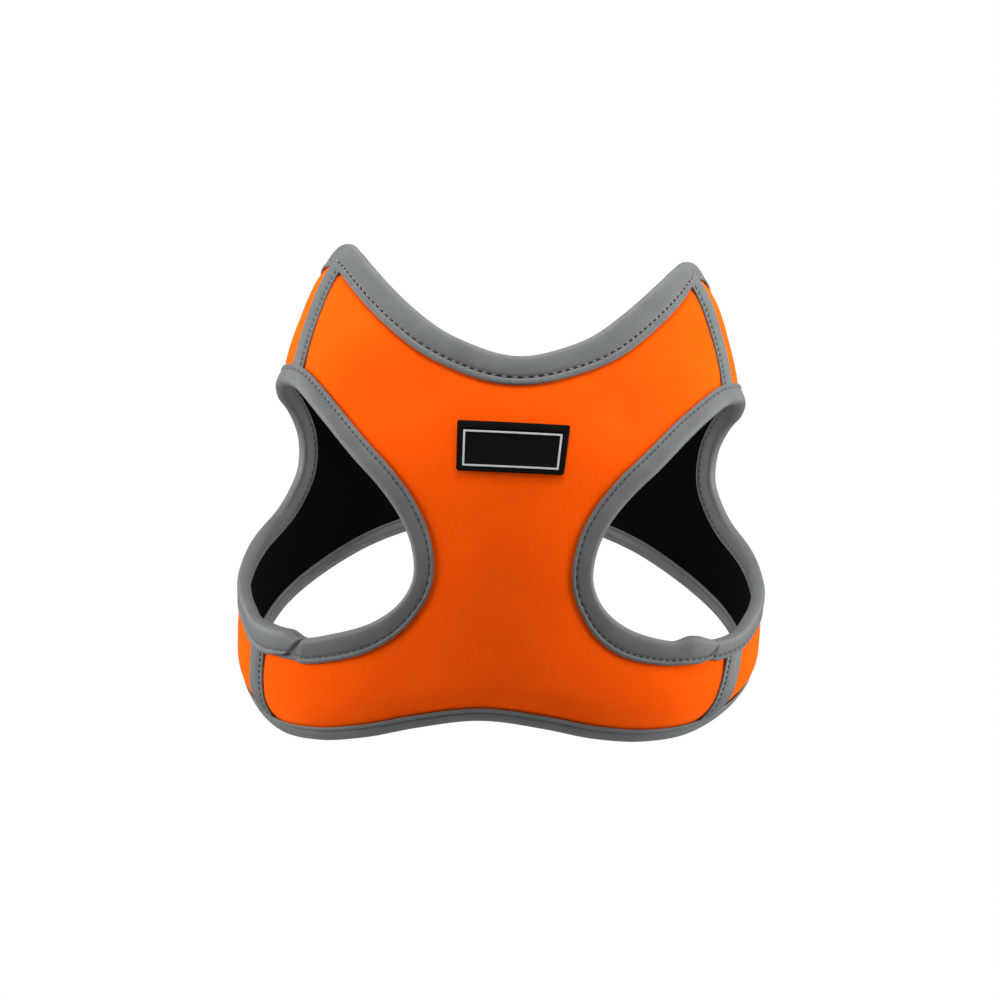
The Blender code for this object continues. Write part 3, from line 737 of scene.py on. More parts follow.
def pinched(places, folds):
    """How far the cloth is pressed down at each place by the nearest binding's seam."""
    tree, widths = folds
    found = [tree.find(point)[1:] for point in vest_point(places)]
    from_lip = np.array([distance - widths[i] for i, distance in found])
    return PINCH * np.exp(-np.clip(from_lip, 0, None) / PINCH_OVER)


def arc_table():
    """Turns all round the body and the length of the way to each in mm, for the cloth's own map."""
    turns = np.linspace(-360, 360, 1441)
    points = cut_point(np.stack([turns, np.zeros_like(turns)], -1))
    way = np.r_[0, np.cumsum(np.linalg.norm(np.diff(points, axis=0), axis=1))]
    return turns, way - np.interp(0, turns, way)


def sheet_of(grids):
    """Places and faces of grids of places, merged where they meet."""
    found, places, faces = {}, [], []

    def index(place):
        turn = 180.0 if abs(abs(place[0]) - 180) < 1e-5 else float(place[0])
        key = (round(turn, 5), round(float(place[1]), 5))
        if key not in found:
            found[key] = len(places)
            places.append(key)
        return found[key]

    for grid in grids:
        number = [[index(place) for place in row] for row in grid]
        for row, following in zip(number, number[1:]):
            for quad in zip(row, row[1:], following[1:], following):
                if len(set(quad)) == 4:
                    faces.append(quad)
                elif len(set(quad)) == 3:
                    faces.append(tuple(dict.fromkeys(quad)))
    return np.array(places), faces


def cloth_piece(name, sheet, top, bottom, material, round_back):
    """A wall of cloth between two heights over a sheet of places."""
    places, faces = sheet
    count = len(places)
    points = np.vstack([lifted(places, top), lifted(places, bottom)])
    runs = {(a, b) for face in faces for a, b in zip(face, face[1:] + face[:1])}
    rim = [(a, b) for a, b in runs if (b, a) not in runs]
    under = [tuple(i + count for i in face[::-1]) for face in faces]
    walls = [(b, a, a + count, b + count) for a, b in sorted(rim)]
    every = list(faces) + under + walls
    turns, way = arc_table()
    turn = places[:, 0] % 360 if round_back else places[:, 0]
    flat = np.stack([np.interp(turn, turns, way), places[:, 1]], -1) * MM
    flat = np.vstack([flat, flat])
    corner_uv = flat[[i for face in every for i in face]]
    return mesh_piece(name, points, every, material, corner_uv)


def cut_panel(panel, label, folds, sizes):
    """A panel of the outer knit with its black lining."""
    half = half_panel(panel, binding_widths(sizes))
    sheet = sheet_of(half + [grid[::-1] * (-1, 1) for grid in half])
    press = pinched(sheet[0], folds)
    cloth, back = mm(sizes.cloth), panel == "back"
    outer = cloth_piece(f"{label}_knit", sheet, -press, np.full(len(press), -cloth),
                        finish_of("fluorescent knit"), back)
    top = -cloth - LAYER_GAP
    inner = cloth_piece(f"{label}_lining_knit", sheet, np.full(len(press), top),
                        top - mm(sizes.lining) + LINING_PRESS * press, finish_of("black knit"), back)
    worn(outer, "orange_knit", f"{label}_panel")
    worn(inner, "black_knit", f"{label}_lining")


class CutCloth(bpy.types.Operator):
    """Cuts the chest and back panels and their linings as shells on the body's surface"""
    bl_idname = "vest.cut_cloth"
    bl_label = "Cut the cloth"

    def execute(self, context):
        sizes = context.scene.vest_sizes
        folds = fold_tree(sizes)
        for panel, label in (("front", "chest"), ("back", "back")):
            cut_panel(panel, label, folds, sizes)
        return {"FINISHED"}


# ---------------------------------------------------------------------------------- the bindings
STATIONS = 8              # stations to a stitch along a binding
# NEEDLE also sets how strongly each station's needle hole is darkened with painted shade.
NEEDLE = np.array((1.0, 0.8, 0.25, 0.0, 0.0, 0.0, 0.25, 0.8))   # depth of a needle hole by station
HOLE = 0.55               # its depth
PUCKER = 0.10             # the tape is drawn in at each hole by this much
BEHIND = -3.1             # height of the lining's inner face
MIDDLE = BEHIND / 2
THREAD_LIFT = 0.66        # height of the thread's middle over the cloth
FOLD_PART = 5.0           # a bulge of the fold dies out over this reach


def leaf(width, lip, puff):
    """One leaf of a binding's section, from the edge of its lip to the crown of its fold.

    Rows of (reach from the fold, height over the cloth).
    """
    seam = width - lip
    crown = 0.30 * seam
    rows = [(width - 0.05, 0.06), (width, 0.30), (width - 0.10, 0.62), (width - 0.35, 0.82),
            (width - 0.80, 0.90), (seam + 0.5 * lip, 0.92), (seam + 0.90, 0.86),
            (seam + 0.50, 0.70), (seam + 0.25, 0.52), (seam, 0.44), (seam - 0.25, 0.54),
            (seam - 0.50, 0.84)]
    foot = seam - 0.50
    for t in np.linspace(0, 1, 7)[1:]:
        rows.append((foot - (foot - crown) * t, 0.84 + (puff - 0.84) * np.sin(np.pi / 2 * t) ** 0.9))
    return rows


def section(width, lip, puff):
    """A binding's closed section: (reach, lift) and the reach of its seam on the outer leaf."""
    outer = leaf(width, lip, puff)
    inner_width, inner_puff = 0.94 * width, 0.75 * puff
    inner = [(reach, BEHIND - height) for reach, height in leaf(inner_width, lip, inner_puff)]
    crown, inner_crown = outer[-1][0], inner[-1][0]
    turn = [(crown * (1 - np.sin(a) ** 0.85), MIDDLE + (puff - MIDDLE) * np.cos(a) ** 0.85)
            for a in np.radians(np.linspace(0, 90, 8)[1:])]
    back = [(inner_crown * (1 - np.sin(a) ** 0.85),
             MIDDLE + (BEHIND - inner_puff - MIDDLE) * np.cos(a) ** 0.85)
            for a in np.radians(np.linspace(90, 0, 8)[1:-1])]
    hidden = [(inner_width - 0.4, BEHIND - 0.02), (CUT_BACK - 0.3, BEHIND - 0.02),
              (CUT_BACK - 0.3, -0.02), (width - 0.4, -0.02)]
    rows = np.array(outer + turn + back + inner[::-1] + hidden)
    leaf_of = np.r_[np.ones(len(outer) + len(turn)), -np.ones(len(back) + len(inner)),
                    np.zeros(len(hidden))]
    seams = np.where(leaf_of > 0, width - lip, inner_width - lip)
    off = rows[:, 0] - seams
    hole = np.where(leaf_of != 0, np.exp(-(off / 0.42) ** 2), 0.0)
    pucker = np.where(leaf_of != 0, np.exp(-(off / 1.7) ** 2), 0.0)
    steps = np.linalg.norm(np.diff(np.vstack([rows, rows[:1]]), axis=0), axis=1)
    return dict(reach=rows[:, 0], lift=rows[:, 1], out=leaf_of, hole=hole, pucker=pucker,
                way=np.r_[0, np.cumsum(steps)], outer_seam=width - lip,
                inner_seam=inner_width - lip)


def stations_along(loop, at):
    """Places on a closed path at fractional stations, past its end too."""
    wrapped = np.vstack([loop, loop[:1]])
    at = np.mod(at, len(loop))
    return np.stack([np.interp(at, np.arange(len(loop) + 1), column) for column in wrapped.T], -1)


def lapped(lap, at, step, share):
    """What a lap does to a binding at its stations, for a line at a share of its width.

    Gives the stations, moved along for a slanting cut, the share of the width that is left, the
    bulge of the fold, the rise over the start, how far the start sinks and the fall of the tip.
    """
    from_start, to_end = (at - lap["start"]) * step, (lap["end"] - at) * step
    over = ease(1 + (at - lap["over"]) * step / LAP_RAMP)
    near_end = ease(1 - to_end / (3 * lap["slant"] + 1))
    where = at - near_end * share * lap["slant"] / step
    past_end = from_start - lap["overlap"]
    dip = np.exp(-(past_end / DIP_OVER) ** 2) + ease(1 - to_end / DIP_AT_END)
    bulge = over * lap["bulge"] * (1 - ease(1 - to_end / lap["fall"])) - lap["dip"] * dip
    narrow = np.sqrt(1 - lap["rounding"] * np.clip(1 - to_end / ROUND_OVER, 0, 1) ** 2)
    narrow = narrow * (1 - lap["taper"] * ease(1 - to_end / TAPER_OVER))
    from_lap = np.minimum(to_end, from_start)
    narrow = narrow * (1 - lap["slim"] * np.exp(-(from_lap / SLIM_OVER) ** 2))
    clear = ease((from_start - lap["overlap"] + HIDDEN_SHORT) / HIDDEN_OVER)
    narrow = narrow * (1 - HIDDEN_NARROW * (1 - clear))
    tip = TIP_FALL * np.clip(1 - to_end / TIP_OVER, 0, 1) ** 2
    return where, narrow, bulge, over * LAP_RISE, HIDDEN_SINK * (1 - clear), tip


def sewn_binding(name, loop, side, shape, stitched, spreads=None, lap=None):
    """A binding round a closed fold, its cloth on the given side. spreads gives its share of its
    width at each place. Gives the piece and a function that finds points on it, for its thread."""
    count = len(loop)
    stations = np.arange(count) if lap is None else np.arange(lap["start"], lap["end"] + 1)
    step = run_length(np.vstack([loop, loop[:1]])) / count
    needle = np.resize(NEEDLE, STATIONS)[stations % STATIONS] * stitched
    wave = -np.cos(2 * np.pi * stations / STATIONS) * stitched

    def column(reach, lift, out, hole=0.0, pucker=0.0):
        """Points of one line along the binding, at a reach from the fold and a lift."""
        if lap is None:
            path, narrow, bulge, rise = loop, 1.0, 0.0, 0.0
        else:
            share = np.clip(reach / shape["reach"].max(), 0, 1)
            where, narrow, bulge, rise, sink, tip = lapped(lap, stations, step, share)
            path = stations_along(loop, where)
            rise = rise - tip * (out != 0) - sink * (abs(lift - MIDDLE) > SINKS_BEYOND)
        wide = (spreads(path) if spreads else 1.0) * narrow
        drawn = hole * HOLE * needle + pucker * PUCKER * wave
        moved = side * (reach * wide - bulge * np.exp(-reach / FOLD_PART))
        return lifted(slid(path, moved, lap is None), lift + np.sign(out) * (rise - drawn))

    grid = np.stack([column(reach, lift, out, hole, pucker) for reach, lift, out, hole, pucker in
                     zip(*(shape[key] for key in ("reach", "lift", "out", "hole", "pucker")))], 1)
    # The painted shade of the needle holes, handed to the tape's material as the hole attribute.
    dark = needle[:, None] * shape["hole"][None, :]
    lengths = np.arange(len(stations) + 1) * step * MM
    piece = tube(name, grid, lengths, shape["way"] * MM, finish_of("reflective tape"),
                 {"hole": dark}, closed=lap is None)
    worn(piece, "grey_tape")

    def seam_points(out):
        """Points along a leaf's seam at every station, on the tape, and the way out of it."""
        reach = shape["outer_seam"] if out > 0 else shape["inner_seam"]
        lift = THREAD_LIFT if out > 0 else BEHIND - THREAD_LIFT
        line = column(reach, lift, out)
        above = column(reach, lift + out, out)
        return line, unit(above - line)

    return piece, seam_points


def thread_bead():
    """One stitch of thread, a unit long along Z and a unit thick: its points and faces."""
    bpy.ops.object.select_all(action="DESELECT")
    bpy.ops.mesh.primitive_uv_sphere_add(segments=8, ring_count=6, radius=0.5)
    ball = bpy.context.object
    points = np.array([v.co for v in ball.data.vertices])
    faces = [tuple(p.vertices) for p in ball.data.polygons]
    bpy.data.objects.remove(ball)
    z = points[:, 2]
    points[:, 2] = np.sign(z) * 0.5 * np.abs(2 * z) ** 0.7
    return points, faces


def thread_piece(name, stitches, thick, long=None, sag=0.25):
    """Stitches joined into one piece, from rows of (start, end, way out)."""
    shape, faces = thread_bead()
    points, every = [], []
    for number, (start, end, out) in enumerate(stitches):
        run = end - start
        length = np.linalg.norm(run) if long is None else long
        run = unit(run)
        out = unit(out - run * np.dot(out, run))
        side = np.cross(out, run)
        middle = (start + end) / 2
        rise = shape[:, 1] * thick - sag * (2 * shape[:, 2]) ** 2
        points.append(middle + shape[:, 2:] * run * length + rise[:, None] * out
                      + shape[:, :1] * side * thick)
        base = number * len(shape)
        every += [tuple(base + i for i in face) for face in faces]
    piece = mesh_piece(name, np.vstack(points), every, finish_of("spun thread"))
    return worn(piece, "grey_tape")


def seam_stitches(line, out, keep=None):
    """Stitches between the needle holes of a seam, from its points and the way out of the tape."""
    found = []
    for i in range(0, len(line) - STATIONS + 1, STATIONS):
        j = (i + STATIONS) % len(line)
        if keep is None or keep[i]:
            middle = i + STATIONS // 2
            found.append((line[i], line[j], out[middle]))
    return found


NECK_PUFF, ARMHOLE_PUFF, HEM_PUFF = 1.6, 1.6, 1.7     # height of each fold's crown over the cloth
# ARMHOLE_STITCHED scales the painted shade of these holes as well as their depth.
ARMHOLE_STITCHED = 0.5    # depth of the armholes' needle holes as a share of the neck's
ARMHOLE_THREAD = 0.6      # and the thickness of their thread
ARMHOLE_PITCH, HEM_PITCH = 0.85, 1.6                  # shares of a stitch
SHOWN = 1.7               # length of a stitch that shows between two holes


class SewBindings(bpy.types.Operator):
    """Folds the grey tape round the neck, the hem and both armholes, and sews it at the neck and the
    armholes
    """
    bl_idname = "vest.sew_bindings"
    bl_label = "Sew the bindings"

    def execute(self, context):
        sizes = context.scene.vest_sizes
        pitch, thick = mm(sizes.stitch), mm(sizes.thread)
        neck, seam = sewn_binding("neck_tape", closed_fold("neck", pitch), -1,
                                  section(mm(sizes.neck_tape), NECK_LIP, NECK_PUFF), 1.0,
                                  neck_spread)
        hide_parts("neck_binding")
        self.sew("neck_thread", seam, thick)
        hem, _ = sewn_binding("hem_tape", closed_fold("hem", HEM_PITCH * pitch), 1,
                              section(mm(sizes.hem_tape), HEM_LIP, HEM_PUFF), 0.0)
        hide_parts("hem_binding")
        fold = closed_fold("armhole", ARMHOLE_PITCH * pitch)
        for label, form in ARMHOLE_LAPS.items():
            sign, run = form["sign"], form["run"]
            loop = (fold * (sign, 1))[::run]
            shape = section(mm(sizes.armhole_tape) * form["wide"], ARMHOLE_LIP, ARMHOLE_PUFF)
            tape, seam = sewn_binding(f"armhole_tape_{label}", loop, sign * run, shape,
                                      ARMHOLE_STITCHED, spread, lap_of(loop, form))
            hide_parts(f"armhole_binding_{label}")
            self.sew(f"armhole_thread_{label}", seam, ARMHOLE_THREAD * thick, skipped=2)
        return {"FINISHED"}

    def sew(self, name, seam, thick, skipped=0):
        """Thread in the seams of both leaves, less so many stitches at the binding's end."""
        stitches = []
        for out in (1, -1):
            found = seam_stitches(*seam(out))
            stitches += found[:len(found) - skipped]
        thread_piece(name, stitches, thick, long=SHOWN, sag=0.22)


# Under each arm the binding's end lies on its start. The left one's end comes from the back and is
# cut slanting. The right one's comes from the front and is rounded off towards the fold. The start
# and the end are turns, the rounding, the taper and the slimming are shares of the width, and the
# rest is in mm.
ARMHOLE_LAPS = {
    "left": dict(sign=-1, run=1, wide=1.00, start=66.0, end=54.4, rounding=0.30, slant=6.5,
                 bulge=1.6, fall=9.0, dip=1.2, taper=0.17, slim=0.0),
    "right": dict(sign=1, run=-1, wide=1.06, start=55.3, end=61.2, rounding=0.97, slant=0.0,
                  bulge=2.7, fall=12.0, dip=0.0, taper=0.0, slim=0.19),
}
UNDER_ARM = -40           # height below which the laps are looked for
LAP_RISE, LAP_RAMP = 1.0, 10.5                    # the end climbs over the start by this, over this
ROUND_OVER, TAPER_OVER, SLIM_OVER = 10.0, 24.0, 38.0
DIP_OVER, DIP_AT_END = 9.0, 8.0
TIP_FALL, TIP_OVER = 0.7, 1.4
# The hidden start sinks and narrows, from just short of where it comes out from under the end.
HIDDEN_SINK, HIDDEN_NARROW, HIDDEN_SHORT, HIDDEN_OVER = 0.5, 0.1, 3.0, 4.0
SINKS_BEYOND = 1.8        # only what lies this far from the binding's middle layer sinks


def lap_of(loop, form):
    """A lap's form with its start and its end as stations of a closed path, in the path's run."""
    count = len(loop)
    low = np.nonzero(loop[:, 1] < UNDER_ARM)[0]

    def station(turn):
        return int(low[np.argmin(np.abs(np.abs(loop[low, 0]) - turn))])

    start, end = station(form["start"]), station(form["end"]) + count
    over = start + count
    if end <= over:
        end += count
    step = run_length(np.vstack([loop, loop[:1]])) / count
    return dict(form, start=start, end=end, over=over, overlap=(end - over) * step)


# ----------------------------------------------------------------------------- tapes over the seams
TAPE_HEIGHT = 0.75
TUCK = 1.2                # a tape's ends lie under the bindings' lips by this much
STRIP_SEAM = 1.7          # its seam lies this far from its front edge
STRIP_PITCH, STRIP_THREAD, STRIP_HOLE = 0.75, 0.7, 0.7    # shares of the neck's
SEAM_TURNS = np.linspace(50, 95, 91)                      # turns between which the tapes' ends lie
#              name,       seam,          far end, heights between which the armhole's lip is met
SEAM_TAPES = (("shoulder", SHOULDER_SEAM, "neck",  (20, 60)),
              ("side",     SIDE_SEAM,     "hem",   (-80, -45)))


def lip_height(path, turn):
    """The height at which a path of places crosses a turn."""
    order = np.argsort(path[:, 0])
    return np.interp(turn, path[order, 0], path[order, 1])


def end_height(seam, path, aside):
    """The height at which a line beside a seam, by so many degrees, meets a path of places."""
    height = path[:, 1].mean()
    for _ in range(8):
        height = lip_height(path, seam_turn(seam, height) + aside)
    return height


def strip_section(half):
    """A flat tape's section over the cloth, rows of (offset, height), and its seam's offset."""
    seam, low, flat = STRIP_SEAM - half, 0.02, TAPE_HEIGHT
    return np.array([
        (-half, low), (-half - 0.02, 0.35), (-half + 0.12, 0.62), (-half + 0.4, flat),
        (seam - 0.45, flat), (seam - 0.2, 0.6), (seam, 0.5), (seam + 0.2, 0.6),
        (seam + 0.45, flat + 0.05), (0.3 * half, flat + 0.12), (0.7 * half, flat + 0.05),
        (half - 0.3, flat - 0.04), (half - 0.05, 0.55), (half, 0.3), (half - 0.05, low)]), seam


class SewSeamTapes(bpy.types.Operator):
    """Lays a flat tape over each shoulder and side seam, sewn along its front edge"""
    bl_idname = "vest.sew_seam_tapes"
    bl_label = "Sew the seam tapes"

    def execute(self, context):
        sizes = context.scene.vest_sizes
        widths, pitch = binding_widths(sizes), STRIP_PITCH * mm(sizes.stitch)
        fold = closed_fold("armhole", pitch)
        lip = slid(fold, widths["armhole"] * spread(fold) - TUCK)
        for name, seam, edge, (low, high) in SEAM_TAPES:
            near = lip[(lip[:, 1] > low) & (lip[:, 1] < high)]
            far = into_cloth(edge, SEAM_TURNS, widths[edge] - TUCK)
            long = abs(end_height(seam, far, 0.0) - end_height(seam, near, 0.0))
            count = max(2, round(long / pitch)) * STATIONS
            for label, sign in (("left", -1), ("right", 1)):
                if edge == "neck":
                    narrowed = widths[edge] * neck_spread(SEAM_TURNS[:, None] * sign)
                    far = into_cloth(edge, SEAM_TURNS, narrowed - TUCK)
                self.strip(sizes, name, label, sign, seam, (near, far), count)
        return {"FINISHED"}

    def strip(self, sizes, name, label, sign, seam, ends, count):
        """One tape along a seam, between two paths that cross it, with its thread."""
        wide, pitch = mm(sizes.seam_tape), STRIP_PITCH * mm(sizes.stitch)
        rows, seam_offset = strip_section(wide / 2)
        degree = np.linalg.norm(directions(np.array([seam[0][::-1]]), cut_point)[0])
        needle = NEEDLE[np.arange(count + 1) % STATIONS]
        hole = np.exp(-((rows[:, 0] - seam_offset) / 0.36) ** 2)
        hole[[0, -1]] = 0

        def along(offset):
            """Places at an offset from the seam, in mm, from the armhole to the far end."""
            low, high = (end_height(seam, path, offset / degree) for path in ends)
            heights = low + (high - low) * np.linspace(0, 1, count + 1)
            return np.stack([(seam_turn(seam, heights) + offset / degree) * sign, heights], -1)

        grid = np.stack([lifted(along(offset), lift - deep * HOLE * STRIP_HOLE * needle)
                         for (offset, lift), deep in zip(rows, hole)], 1)
        way = np.r_[0, np.cumsum(np.linalg.norm(np.diff(rows, axis=0), axis=1)), 2 * wide]
        # The hole attribute paints shade into the needle holes along the tape's seam.
        tape = tube(f"{name}_strip_{label}", grid, np.arange(count + 2) * pitch / STATIONS * MM,
                    way * MM, finish_of("reflective tape"), {"hole": needle[:, None] * hole},
                    closed=False)
        worn(tape, "grey_tape", f"{name}_tape_{label}")
        places = along(seam_offset)
        line = lifted(places, np.full(len(places), 0.55))
        thread_piece(f"{name}_thread_{label}", seam_stitches(line, normal_at(places)),
                     STRIP_THREAD * mm(sizes.thread), long=1.0, sag=0.15)


# ------------------------------------------------------------------------------------- the patch
# Its place, size and skew, the height and width of its border, how much lower the field lies than
# the middle, and the rounding of its corners and its edges.
PATCH = dict(turn=1.1, height=21.4, width=44.8, tall=20.4, taper=0.05, lean=0.035, tilt=0.012,
             thick=1.5, border=0.45, rim=2.0, down=1.0, corner=0.9, round=0.45, steps=4)
FRAME_LINE = dict(width=39.8, tall=14.8, line=0.75, thick=0.35, corner=0.25, round=0.15, steps=3)
SKIN = 0.1                # the patch's back lies this far over the cloth
SUNK = 0.02               # and the line's back this far in the patch


def select_faces(mesh, wanted):
    """In edit mode with nothing selected: selects the faces for which wanted(face) is true."""
    bpy.ops.object.mode_set(mode="OBJECT")
    for face in mesh.polygons:
        face.select = wanted(face)
    for edge in mesh.edges:
        edge.select = False
    for vertex in mesh.vertices:
        vertex.select = False
    for face in mesh.polygons:
        if face.select:
            for i in face.vertices:
                mesh.vertices[i].select = True
    bpy.ops.object.mode_set(mode="EDIT")
    bpy.ops.mesh.select_mode(type="FACE")


def rounded_plate(name, sizes):
    """A flat plate with round corners, its back on z = 0, in edit mode with nothing selected."""
    width, tall, thick, corner = (sizes[key] * MM for key in ("width", "tall", "thick", "corner"))
    bpy.ops.object.select_all(action="DESELECT")
    bpy.ops.mesh.primitive_cube_add(size=1, location=(0, 0, thick / 2))
    plate = bpy.context.object
    plate.name = plate.data.name = name
    plate.scale = (width, tall, thick)
    bpy.ops.object.transform_apply(location=True, rotation=False, scale=True)
    bpy.ops.object.mode_set(mode="EDIT")
    bpy.ops.mesh.select_mode(type="EDGE")
    bpy.ops.mesh.select_all(action="DESELECT")
    bpy.ops.object.mode_set(mode="OBJECT")
    for edge in plate.data.edges:
        a, b = (plate.data.vertices[i].co for i in edge.vertices)
        edge.select = abs(a.z - b.z) > thick / 2
    bpy.ops.object.mode_set(mode="EDIT")
    bpy.ops.mesh.bevel(offset=corner, segments=5, profile=0.5, affect="EDGES")
    bpy.ops.mesh.select_all(action="DESELECT")
    return plate


def finished_plate(plate, sizes):
    """Rounds the plate's edges, then cuts it across its width so that it can bend."""
    bpy.ops.object.mode_set(mode="OBJECT")
    bpy.ops.object.modifier_add(type="BEVEL")
    rounding = plate.modifiers[-1]
    rounding.width, rounding.segments = sizes["round"] * MM, sizes["steps"]
    rounding.limit_method, rounding.angle_limit = "ANGLE", SHARP
    bpy.ops.object.modifier_apply(modifier=rounding.name)
    bpy.ops.object.mode_set(mode="EDIT")
    for x in np.linspace(-0.5, 0.5, 19)[1:-1] * sizes["width"] * MM:
        bpy.ops.mesh.select_all(action="SELECT")
        bpy.ops.mesh.bisect(plane_co=(x, 0, 0), plane_no=(1, 0, 0))
    bpy.ops.object.mode_set(mode="OBJECT")


def laid_on_chest(plate, base, down=0.0):
    """Bends a flat plate onto the chest at the patch's place, its back at a height over the cloth."""
    flat = np.array([v.co for v in plate.data.vertices]) / MM - (0, down, 0)
    level = np.stack([np.full(len(flat), PATCH["turn"]),
                      PATCH["height"] + flat[:, 1] - PATCH["tilt"] * flat[:, 0]], -1)
    degree = np.linalg.norm(directions(level, cut_point)[0], axis=-1)
    widened = 1 + PATCH["taper"] * flat[:, 1] / PATCH["tall"]
    aside = flat[:, 0] * widened + PATCH["lean"] * flat[:, 1]
    places = level + np.stack([aside / degree, np.zeros(len(flat))], -1)
    points = lifted(places, flat[:, 2] + base) * MM
    plate.data.vertices.foreach_set("co", points.astype(np.float32).ravel())
    plate.data.update()


class MouldPatch(bpy.types.Operator):
    """Moulds the bare rubber patch with its rounded border, and the pale frame line on it"""
    bl_idname = "vest.mould_patch"
    bl_label = "Mould the patch"

    def execute(self, context):
        patch = self.rubber()
        line = self.frame_line()
        for piece, slot, node, look in ((patch, "black_rubber", "patch", "black rubber"),
                                        (line, "pale_rubber", "patch_frame", "pale rubber")):
            piece.data.materials.clear()
            piece.data.materials.append(finish_of(look))
            piece.data.shade_smooth()
            piece.data.set_sharp_from_angle(angle=np.radians(60))
            worn(piece, slot, node)
        return {"FINISHED"}

    def rubber(self):
        """The patch itself, its field lower than its border."""
        plate = rounded_plate("rubber_patch", PATCH)
        select_faces(plate.data, lambda face: face.normal.z > 0.9)
        bpy.ops.mesh.inset(thickness=PATCH["rim"] * MM)
        bpy.ops.transform.translate(value=(0, -PATCH["down"] * MM, 0))
        sunk = {"value": (0, 0, -PATCH["border"] * MM)}
        bpy.ops.mesh.extrude_region_move(TRANSFORM_OT_translate=sunk)
        bpy.ops.mesh.select_all(action="DESELECT")
        finished_plate(plate, PATCH)
        laid_on_chest(plate, SKIN)
        return plate

    def frame_line(self):
        """The raised line, a plate with its middle taken out."""
        plate = rounded_plate("patch_line", FRAME_LINE)
        select_faces(plate.data, lambda face: abs(face.normal.z) > 0.9)
        bpy.ops.mesh.inset(thickness=FRAME_LINE["line"] * MM)
        bpy.ops.mesh.bridge_edge_loops()
        finished_plate(plate, FRAME_LINE)
        laid_on_chest(plate, SKIN + PATCH["thick"] - PATCH["border"] - SUNK, PATCH["down"])
        return plate


# ---------------------------------------------------------------------------- the lead's tab and ring
RING = dict(height=24.0, lift=2.6, merge=0.02, plate=0.12)   # its bar's place, and how it is finished
TAB = dict(width=20.0, up=19.0, down=14.0, thick=1.5, over=0.1)
# Its sewing: a box with a cross over the ring, and two rows under it, in mm from the ring's bar.
TAB_SEWING = dict(margin=1.8, low=9.0, top=1.4, rows=(9.4, 12.4), pitch=0.8, lift=0.12)


def tab_line():
    """The webbing's own line up the back, over the ring's bar: rows of (up, height), smoothed."""
    lift, under = RING["lift"], TAB["over"] + TAB["thick"] / 2
    knots = np.array(((-TAB["down"], under), (-8.0, under), (-5.6, under + 0.25), (-3.6, lift + 0.1),
                      (-2.4, lift + 1.9), (0.0, lift + 3.05), (2.4, lift + 1.9), (3.6, lift + 0.1),
                      (5.6, under + 0.25), (8.0, under), (TAB["up"], under)))
    at = np.arange(len(knots))
    return smooth(at, knots, np.linspace(0, len(knots) - 1, 91))


